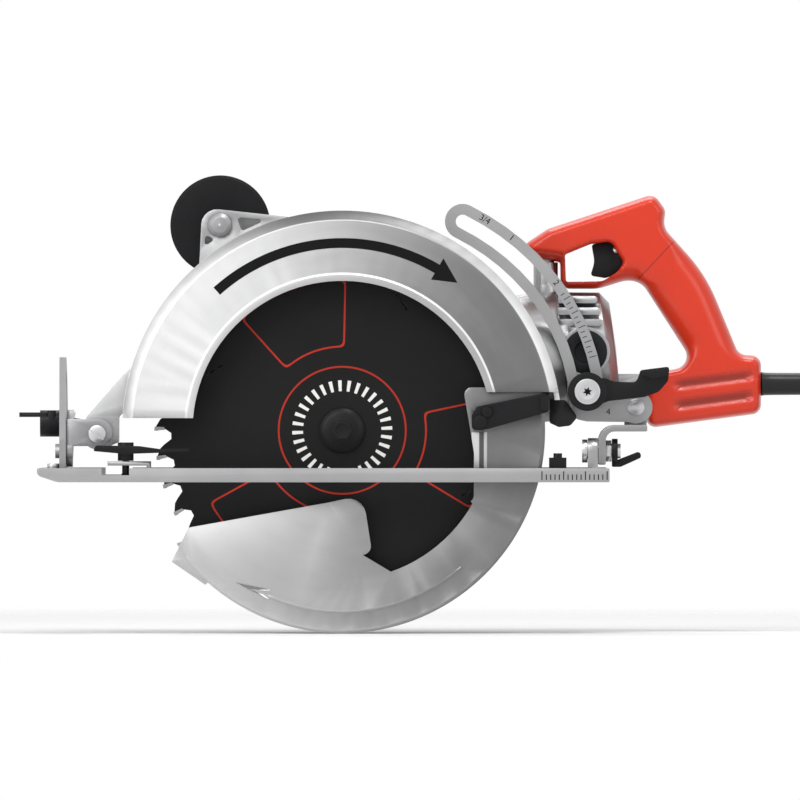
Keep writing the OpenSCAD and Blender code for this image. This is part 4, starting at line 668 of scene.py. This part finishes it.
# Whether each point is inside a closed outline: how often a line to its right crosses it
def inside(points, loop):
    a, b = loop, np.roll(loop, -1, 0)
    x, z = points[:, 0, None], points[:, 1, None]
    cut = (a[:, 1] > z) != (b[:, 1] > z)
    rise = np.where(b[:, 1] == a[:, 1], 1e-9, b[:, 1] - a[:, 1])
    return (cut & (x < a[:, 0] + (z - a[:, 1]) * (b[:, 0] - a[:, 0]) / rise)).sum(1) % 2 == 1


def smoothRise(v, a, b):
    t = np.clip((v - a) / (b - a), 0, 1)
    return t * t * (3 - 2 * t)


# Twice the area of a loop, below 0 where it runs the other way round
def loopArea(loop):
    return (loop[:, 0] * np.roll(loop[:, 1], -1) - np.roll(loop[:, 0], -1) * loop[:, 1]).sum()


# Outward side of a loop at each of its points
def loopSide(loop):
    d = np.roll(loop, -1, 0) - np.roll(loop, 1, 0)
    d /= np.linalg.norm(d, axis=1)[:, None]
    return np.stack([d[:, 1], -d[:, 0]], 1) * np.sign(loopArea(loop))


# Handle: outlines are x, z and corner radius, and pairs are where a change begins and ends
handleSet = {
    "half": 19, "power": 2.4, "gripRound": 15.5, "topRound": 6, "baseRound": 4.5, "windowRound": 4,
    "baseZ": (100, 80), "baseX": (200, 212), "topZ": (150, 168), "sharpAngle": 50,
    "outline": [[127, 165.5, 6], [143, 176, 16], [217, 200.5, 8], [225, 189, 7], [223.5, 177, 12],
                [253, 144, 110], [276, 88.5, 8], [291.5, 87.4, 7], [291.5, 47.6, 7], [211, 37, 7],
                [211, 74.5, 7], [245.5, 81, 9], [207.5, 140, 14], [196, 139.8, 18], [178, 134.2, 30],
                [151.8, 134.2, 6.5], [151.5, 152.8, 2], [127.5, 156.2, 6]],
    "window": [[154.8, 158, 2], [173, 165.5, 3], [187, 167, 5], [195.8, 152.4, 4], [191.5, 146.2, 4],
               [181, 139.5, 8], [165, 139.2, 6], [155.5, 139, 1.5]],
    "screws": [[157, 170], [214.5, 143.5], [268, 80]], "screwRadius": 4.3, "screwFloor": 15,
    "bossTop": 18.2, "bossRadius": 10,
    "grooves": [50.5, 64.5], "grooveHalf": 4.6, "grooveDepth": 2.8, "grooveX": 211, "grooveRise": 0.131,
    "grooveFront": (228, 236), "grooveRear": (289, 281),
    "slotHalf": 7.6, "slotDeep": 8.5, "slotShare": 0.6, "slotLeast": 0.1, "slotX": (164, 170),
    "outerStep": 1.1, "windowStep": 0.9, "outerRows": (0.15, 0.45, 0.95, 1.7, 2.8, 4.2),
    "windowRows": (0.3, 0.9, 1.8, 3.0), "rowShare": 0.9, "grid": 1.6, "outerClear": 4.8, "windowClear": 3.6,
    "seatPoints": 40, "seatInner": 2.0, "seatStep": 0.08, "seatClear": 0.9}


# Height of the handle's side over its joint plane: a superellipse of the distance to the outline,
# rounded again at the window, with two shallow grooves in the base, raised round the screws, and
# with sunk screw seats on the far side
def handleHeight(points, outer, window, s, seats):
    x, z = points[:, 0], points[:, 1]
    base = smoothRise(z, *s["baseZ"]) * smoothRise(x, *s["baseX"])
    top = smoothRise(z, *s["topZ"])
    radius = (s["gripRound"] * (1 - base) * (1 - top) + s["baseRound"] * base
              + s["topRound"] * top * (1 - base))
    t = np.clip(edgeDistance(points, outer) / radius, 0, 1)
    y = s["half"] * (1 - (1 - t) ** s["power"]) ** (1 / s["power"])
    w = np.clip(edgeDistance(points, window) / s["windowRound"], 0, 1)
    y = np.minimum(y, s["half"] - s["windowRound"] * (1 - np.sqrt(1 - (1 - w) ** 2)))
    slope = z - (x - s["grooveX"]) * s["grooveRise"]
    fade = smoothRise(x, *s["grooveFront"]) * smoothRise(x, *s["grooveRear"])
    for c in s["grooves"]:
        y -= s["grooveDepth"] * fade * np.clip(1 - ((slope - c) / s["grooveHalf"]) ** 2, 0, 1)
    for c in s["screws"]:
        d = np.hypot(x - c[0], z - c[1])
        y += np.maximum(s["bossTop"] - y, 0) * np.clip(1 - (d / s["bossRadius"]) ** 2, 0, 1) ** 2
        if seats:
            y = np.where(d < s["screwRadius"], np.minimum(y, s["screwFloor"]), y)
    return np.maximum(y, 0)


# Points of the handle's side: both outlines, rows beside them, rings at the screws and an even grid
def handlePoints(outer, window, s):
    def toEdges(q):
        return edgeDistance(q, outer), edgeDistance(q, window)

    rows = [(outer - loopSide(outer) * d, d) for d in s["outerRows"]]
    rows += [(window + loopSide(window) * d, d) for d in s["windowRows"]]
    rows = [q[np.minimum(*toEdges(q)) > s["rowShare"] * d] for q, d in rows]
    a = around(s["seatPoints"])
    unit = np.stack([np.cos(a), np.sin(a)], 1)
    radii = (s["seatInner"], s["screwRadius"] - s["seatStep"], s["screwRadius"] + s["seatStep"])
    rings = [np.array(c) + unit * r for c in s["screws"] for r in radii]
    low, high = outer.min(0), outer.max(0)
    rowHeight = s["grid"] * 0.866           # of triangles with even sides
    gx, gz = np.meshgrid(np.arange(low[0], high[0], s["grid"]),
                         np.arange(low[1], high[1], rowHeight), indexing="ij")
    gx = gx + (np.arange(gx.shape[1]) % 2) * s["grid"] / 2
    grid = np.stack([gx, gz], -1).reshape(-1, 2)
    toOuter, toWindow = toEdges(grid)
    grid = grid[(toOuter > s["outerClear"]) & (toWindow > s["windowClear"])]
    for c in s["screws"]:
        grid = grid[np.hypot(grid[:, 0] - c[0], grid[:, 1] - c[1]) > s["screwRadius"] + s["seatClear"]]
    extra = np.vstack(rows + rings + [grid])
    extra = extra[inside(extra, outer) & ~inside(extra, window)]
    return np.vstack([outer, window, extra])


def addHandle(s):
    outer = evenLoop(roundedOutline(s["outline"]), s["outerStep"])
    window = evenLoop(roundedOutline(s["window"]), s["windowStep"])
    points = handlePoints(outer, window, s)
    n, m = len(outer), len(window)
    edges = [(i, (i + 1) % n) for i in range(n)] + [(n + i, n + (i + 1) % m) for i in range(m)]
    flat, _, tris, _, _, _ = delaunay_2d_cdt([Vector(q) for q in points], edges, [], 1, 1e-5)
    flat, tris = np.array([tuple(v) for v in flat]), np.array(tris)
    mids = flat[tris].mean(1)
    tris = tris[inside(mids, outer) & ~inside(mids, window)]
    y, far = (handleHeight(flat, outer, window, s, seats) for seats in (False, True))
    y[:n] = far[:n] = 0
    a, b, c = (flat[tris[:, k]] for k in range(3))
    flip = (b[:, 0] - a[:, 0]) * (c[:, 1] - a[:, 1]) - (b[:, 1] - a[:, 1]) * (c[:, 0] - a[:, 0]) < 0
    tris[flip] = tris[flip][:, ::-1]
    k = len(flat)
    front = np.stack([flat[:, 0], -y, flat[:, 1]], 1)
    back = np.stack([flat[:, 0], far, flat[:, 1]], 1)
    backTris = tris[:, ::-1] + k
    backTris = np.where(backTris - k < n, backTris - k, backTris)      # both sides share the outline
    # Window wall: down from the rounded edge, out into the trigger's slot, across and up again
    loop = flat[n:n + m]
    deep = np.minimum(s["slotDeep"], s["slotShare"] * edgeDistance(loop, outer))
    deep = np.maximum(deep * smoothRise(loop[:, 0], *s["slotX"]), s["slotLeast"])
    wide = loop + loopSide(loop) * deep[:, None]
    h = s["slotHalf"]
    levels = ((loop, -h), (wide, -h), (wide, h), (loop, h))
    rows = [np.stack([q[:, 0], np.full(m, level), q[:, 1]], 1) for q, level in levels]
    verts = np.vstack([front, back] + rows) * mm
    starts = [n] + [2 * k + i * m for i in range(4)] + [k + n]
    j, jn = np.arange(m), (np.arange(m) + 1) % m
    pairs = zip(starts[:-1], starts[1:])
    walls = np.vstack([np.stack([p + j, p + jn, q + jn, q + j], 1) for p, q in pairs])
    if loopArea(loop) > 0:
        walls = walls[:, ::-1]
    used = np.unique(np.concatenate([tris.ravel(), backTris.ravel(), walls.ravel()]))
    number = np.zeros(len(verts), int)
    number[used] = np.arange(len(used))
    faces = number[tris].tolist() + number[backTris].tolist() + number[walls].tolist()
    handle = addPiece("handle", verts[used], faces, "saw", "redPlastic", "red_plastic")
    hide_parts("handle_left", "handle_right")
    splitEdges(handle, s["sharpAngle"])
    print("handle made:", len(faces), "faces")


addHandle(handleSet)


# Small turned pieces: the lead's sleeve behind the handle and the trigger's pin across its slot
sleeveSet = {"at": (291.5, 0, 68), "way": (1, 0, 0),
             "profile": [[0.01, 0], [8.2, 0], [8.2, 1.2], [7.9, 2.2], [7.75, 8], [7.6, 36], [7.2, 42],
                         [6.4, 44.6], [5.4, 45.5], [0.01, 45.5]]}
pinSet = {"at": (190, -8.5, 161), "way": (0, 1, 0), "sides": 24,
          "profile": [[0.01, 0], [1.9, 0], [1.9, 17], [0.01, 17]]}
sleeveMesh = turned(sleeveSet["profile"], sleeveSet["at"], sleeveSet["way"])
sleeve = addPiece("leadSleeve", *sleeveMesh, "saw", "leadRubber", "rubber")
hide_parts("strain_relief")
pinMesh = turned(pinSet["profile"], pinSet["at"], pinSet["way"], pinSet["sides"])
addPiece("triggerPin", *pinMesh, "saw", "satinSteel", "steel")


# Carbide tips: a small wedge block on the leading face of every tooth. Back, front, hook and taper are
# shares of the pitch
tipSet = {"teeth": 40, "start": 180, "inner": 122.6, "outer": 130.25, "fall": 0.35, "rise": 0.8,
          "back": -0.125, "front": 0.012, "hook": 0.03, "taper": 0.01, "half": 1.55, "halfIn": 1.3}


# Corners: x = reach cos t and z = arbor + reach sin t, where t is the tooth's angle and the corner's own
def addTips(s):
    pitch = 360 / s["teeth"]
    tooth = np.radians(s["start"] + np.arange(s["teeth"]) * pitch)[:, None]
    turn = np.array([s["back"], s["front"], s["front"] - s["hook"], s["back"] + s["taper"]] * 2)
    reach = np.array([s["outer"] - s["fall"], s["outer"], s["inner"], s["inner"] + s["rise"]] * 2)
    side = np.array([s["half"], s["half"], s["halfIn"], s["halfIn"]])
    t = tooth + np.radians(turn * pitch)
    x, z = reach * np.cos(t), reach * np.sin(t)
    y = np.broadcast_to(np.concatenate([-side, side]), x.shape)
    points = np.stack([x * mm, bladeY + y * mm, arborZ + z * mm], -1).reshape(-1, 3)
    one = np.array([[0, 1, 2, 3], [7, 6, 5, 4], [0, 4, 5, 1], [1, 5, 6, 2], [2, 6, 7, 3], [3, 7, 4, 0]])
    faces = (one[None] + 8 * np.arange(s["teeth"])[:, None, None]).reshape(-1, 4)
    addPiece("carbideTips", points, faces[:, ::-1].tolist(), "blade", "carbide", "steel", smooth=False)


addTips(tipSet)


# A flat outline in x and z given a thickness from y0 to y1, the lower y in front
def prism(loop, y0, y1):
    n = len(loop)
    front = np.stack([loop[:, 0], np.full(n, y0), loop[:, 1]], 1)
    back = np.stack([loop[:, 0], np.full(n, y1), loop[:, 1]], 1)
    i = np.arange(n)
    j = (i + 1) % n
    walls = np.stack([i, i + n, j + n, j], 1).tolist()
    faces = [list(range(n)), list(range(2 * n - 1, n - 1, -1))] + walls
    if loopArea(loop) < 0:
        faces = [f[::-1] for f in faces]
    return np.vstack([front, back]) * mm, faces


# A printed mark on the face at y, standing out in front of it by its thickness
def printOn(loop, y, thick):
    return prism(loop, y - thick, y + printUnder)


def addPrint(name, parts, body):
    addPiece(name, *joined(*parts), body, "blackPrint", "black_plastic", smooth=False)


# Arrow for the blade's turn on the guard's front: a band along an arc, ending in a point
arrowSet = {"reach": 129.5, "half": 3.4, "from": 132, "to": 52, "head": 7.5, "headHalf": 8.5, "thick": 0.12,
            "behindFront": 0.8, "points": 80}


def addArrow(s):
    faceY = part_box("upper_guard")[0][1] / mm + s["behindFront"]
    n, mid, neck = s["points"], s["reach"], s["to"] + s["head"]
    a = np.radians(np.linspace(s["from"], neck, n))
    tip = np.radians([neck, s["to"], neck])
    tipReach = [mid + s["headHalf"], mid, mid - s["headHalf"]]
    r = np.concatenate([np.full(n, mid + s["half"]), tipReach, np.full(n, mid - s["half"])])
    t = np.concatenate([a, tip, a[::-1]])
    loop = np.stack([r * np.cos(t), arborZ / mm + r * np.sin(t)], 1)
    addPrint("turnArrow", [printOn(loop, faceY, s["thick"])], "saw")


addArrow(arrowSet)


# Painted shade in the depth lever's screw: a black star of six points round its middle, on the floor of the
# head's recess, standing for the dark inside of the screw's star socket
socketShadeSet = {"at": (169.6, 62.6), "points": 6, "turn": 15, "outer": 3.3, "inner": 1.7,
           "face": -93, "thick": 0.1}


def addSocketShade(s):
    corner = np.arange(2 * s["points"])
    a = np.radians(corner * (180 / s["points"]) + s["turn"])
    r = np.where(corner % 2 == 0, s["outer"], s["inner"])
    loop = np.array(s["at"]) + np.stack([r * np.cos(a), r * np.sin(a)], 1)
    addPrint("screwSocketShade", [printOn(loop, s["face"], s["thick"])], "depth_lever")


addSocketShade(socketShadeSet)


# Figures as thin meshes, turned in the front plane and set on a face
figureSet = {"thick": 0.12, "lift": 0.05}


def figureMesh(words, size, thick):
    curve = bpy.data.curves.new("figure", "FONT")
    curve.body = words
    curve.size = size
    curve.extrude = thick / 2
    curve.align_x = "CENTER"
    curve.align_y = "CENTER"
    obj = bpy.data.objects.new("figure", curve)
    scene.collection.objects.link(obj)
    bpy.context.view_layer.update()
    mesh = bpy.data.meshes.new_from_object(obj.evaluated_get(bpy.context.evaluated_depsgraph_get()))
    points = np.zeros(len(mesh.vertices) * 3)
    mesh.vertices.foreach_get("co", points)
    faces = [list(p.vertices) for p in mesh.polygons]
    bpy.data.objects.remove(obj)
    return points.reshape(-1, 3), faces


def placedFigure(words, size, x, z, turn, faceY):
    s = figureSet
    p, faces = figureMesh(words, size, s["thick"])
    a = math.radians(turn)
    points = np.stack([x + p[:, 0] * math.cos(a) - p[:, 1] * math.sin(a), faceY - s["lift"] - p[:, 2],
                       z + p[:, 0] * math.sin(a) + p[:, 1] * math.cos(a)], 1)
    return points * mm, faces


# Depth scale on the link: figures and ticks beside its slot, each at a depth angle in degrees
linkSet = {"pin": (203.7, 51.9), "hinge": (-169.4, 33.4), "bolt": (169.6, 62.6), "share": 0.6,
           "face": -48.7, "figures": [("2", 13.5), ("1", 20.5), ("3/4", 24.0)], "side": 8.6, "size": 6.2,
           "endFigure": "4", "endAt": (184.5, 48.5),
           "ticks": (4.0, 12.0, 14), "tickFrom": 6.2, "tickLong": 11.3, "tickShort": 9.4, "longEvery": 3,
           "tickHalf": 0.25, "tickThick": 0.11}


# Slot on the link: the bolt swings about the hinge, while the link turns about its pin by a share of that
def slotPoint(a, s):
    def spin(v, g):
        x, z = v[..., 0], v[..., 1]
        return np.stack([x * np.cos(g) - z * np.sin(g), x * np.sin(g) + z * np.cos(g)], -1)
    g = np.radians(np.asarray(a, float))
    pin, hinge, bolt = (np.array(s[k], float) for k in ("pin", "hinge", "bolt"))
    swung = hinge + spin(np.broadcast_to(bolt - hinge, g.shape + (2,)), g)
    return pin + spin(swung - pin, s["share"] * g)


def addLinkScale(s):
    # place on the slot, the direction along it and the one to its side
    def slotAt(a):
        d = slotPoint(a + 0.5, s) - slotPoint(a - 0.5, s)
        d = d / np.linalg.norm(d)
        return slotPoint(a, s), d, np.array([d[1], -d[0]])

    parts = []
    for words, a in s["figures"]:
        p, d, n = slotAt(a)
        x, z = p + n * s["side"]
        turn = math.degrees(math.atan2(d[1], d[0])) - 180
        parts.append(placedFigure(words, s["size"], x, z, turn, s["face"]))
    for k, a in enumerate(np.linspace(*s["ticks"])):
        p, d, n = slotAt(a)
        long = s["tickLong"] if k % s["longEvery"] == 0 else s["tickShort"]
        near, far, half = p + n * s["tickFrom"], p + n * long, d * s["tickHalf"]
        loop = np.array([near - half, near + half, far + half, far - half])
        parts.append(printOn(loop, s["face"], s["tickThick"]))
    parts.append(placedFigure(s["endFigure"], s["size"], *s["endAt"], 0, s["face"]))
    addPrint("linkScale", parts, "depth_link")


addLinkScale(linkSet)

# Ticks on the rear end of the foot's rail
railSet = {"from": 138, "to": 183, "count": 16, "low": 1.6, "long": 6.0, "short": 3.8, "longEvery": 5,
           "half": 0.35, "thick": 0.1}


def addRailTicks(s):
    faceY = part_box("foot_plate")[0][1] / mm
    parts = []
    for k, x in enumerate(np.linspace(s["from"], s["to"], s["count"])):
        left, right, low = x - s["half"], x + s["half"], s["low"]
        top = low + (s["long"] if k % s["longEvery"] == 0 else s["short"])
        loop = np.array([[left, low], [right, low], [right, top], [left, top]])
        parts.append(printOn(loop, faceY, s["thick"]))
    addPrint("railTicks", parts, "foot")


addRailTicks(railSet)
print("marks made")


# Studio: a pale floor that fades into a white world, and five soft lamps of place, size and power
studioSet = {"floor": 2.2, "floorPoints": 96, "floorDrop": 0.0002, "floorDark": grey(0.84, 0.84),
             "floorLight": grey(0.88, 0.88), "fade": (0.55, 1.5), "worldLight": 0.5,
             "aim": (0.04, -0.05, 0.05),
             "lamps": [((-0.7, -1.5, 1.4), 1.0, 15), ((1.5, -1.2, 0.7), 0.9, 5), ((0.1, 1.0, 1.5), 1.0, 10),
                       ((-0.75, -0.75, 0.35), 0.5, 3), ((0.3, -0.45, 1.15), 0.3, 5)]}


def addFloor(s):
    n = s["floorPoints"]
    a = around(n)
    level = np.full(n, groundZ - s["floorDrop"])
    edge = np.stack([s["floor"] * np.cos(a), s["floor"] * np.sin(a), level], 1)
    mesh = bpy.data.meshes.new("floor")
    mesh.from_pydata(edge.tolist(), [], [list(range(n))])
    floor = bpy.data.objects.new("floor", mesh)
    scene.collection.objects.link(floor)
    mat = bpy.data.materials.new("paleFloor")
    mat.use_nodes = True
    tree = mat.node_tree
    shader = tree.nodes["Principled BSDF"]
    shader.inputs["Roughness"].default_value = 0.9
    shader.inputs["Specular IOR Level"].default_value = 0.1
    place = Wire(tree, tree.nodes.new("ShaderNodeTexCoord").outputs["Object"])
    x, y, z = place.axes()
    tint = place.noise(40, 3).mix(s["floorDark"], s["floorLight"])
    fade = (x * x + y * y).math("SQRT").step(*s["fade"])
    clear = tree.nodes.new("ShaderNodeBsdfTransparent")
    blend = tree.nodes.new("ShaderNodeMixShader")
    tree.links.new(tint.socket, shader.inputs["Base Color"])
    tree.links.new(fade.socket, blend.inputs[0])
    tree.links.new(shader.outputs[0], blend.inputs[1])
    tree.links.new(clear.outputs[0], blend.inputs[2])
    tree.links.new(blend.outputs[0], tree.nodes["Material Output"].inputs["Surface"])
    mesh.materials.append(mat)


# World: full white to the eye and in reflections, and a share of that as light
def addWorld(s):
    world = bpy.data.worlds.new("studio")
    scene.world = world
    world.use_nodes = True
    tree = world.node_tree
    back = tree.nodes["Background"]
    back.inputs["Color"].default_value = (1, 1, 1, 1)
    path = tree.nodes.new("ShaderNodeLightPath")
    seen = Wire(tree, path.outputs["Is Camera Ray"])
    for key in ("Is Glossy Ray", "Is Transmission Ray"):
        seen = seen.math("MAXIMUM", Wire(tree, path.outputs[key]))
    tree.links.new((seen * (1 - s["worldLight"]) + s["worldLight"]).socket, back.inputs["Strength"])


def addLamps(s):
    for k, (spot, size, power) in enumerate(s["lamps"]):
        light = bpy.data.lights.new(f"softLamp{k}", "AREA")
        light.size = size
        light.energy = power
        lamp = bpy.data.objects.new(f"softLamp{k}", light)
        lamp.location = spot
        lamp.rotation_euler = (Vector(s["aim"]) - Vector(spot)).to_track_quat("-Z", "Y").to_euler()
        scene.collection.objects.link(lamp)


addFloor(studioSet)
addWorld(studioSet)
addLamps(studioSet)
print("studio set")
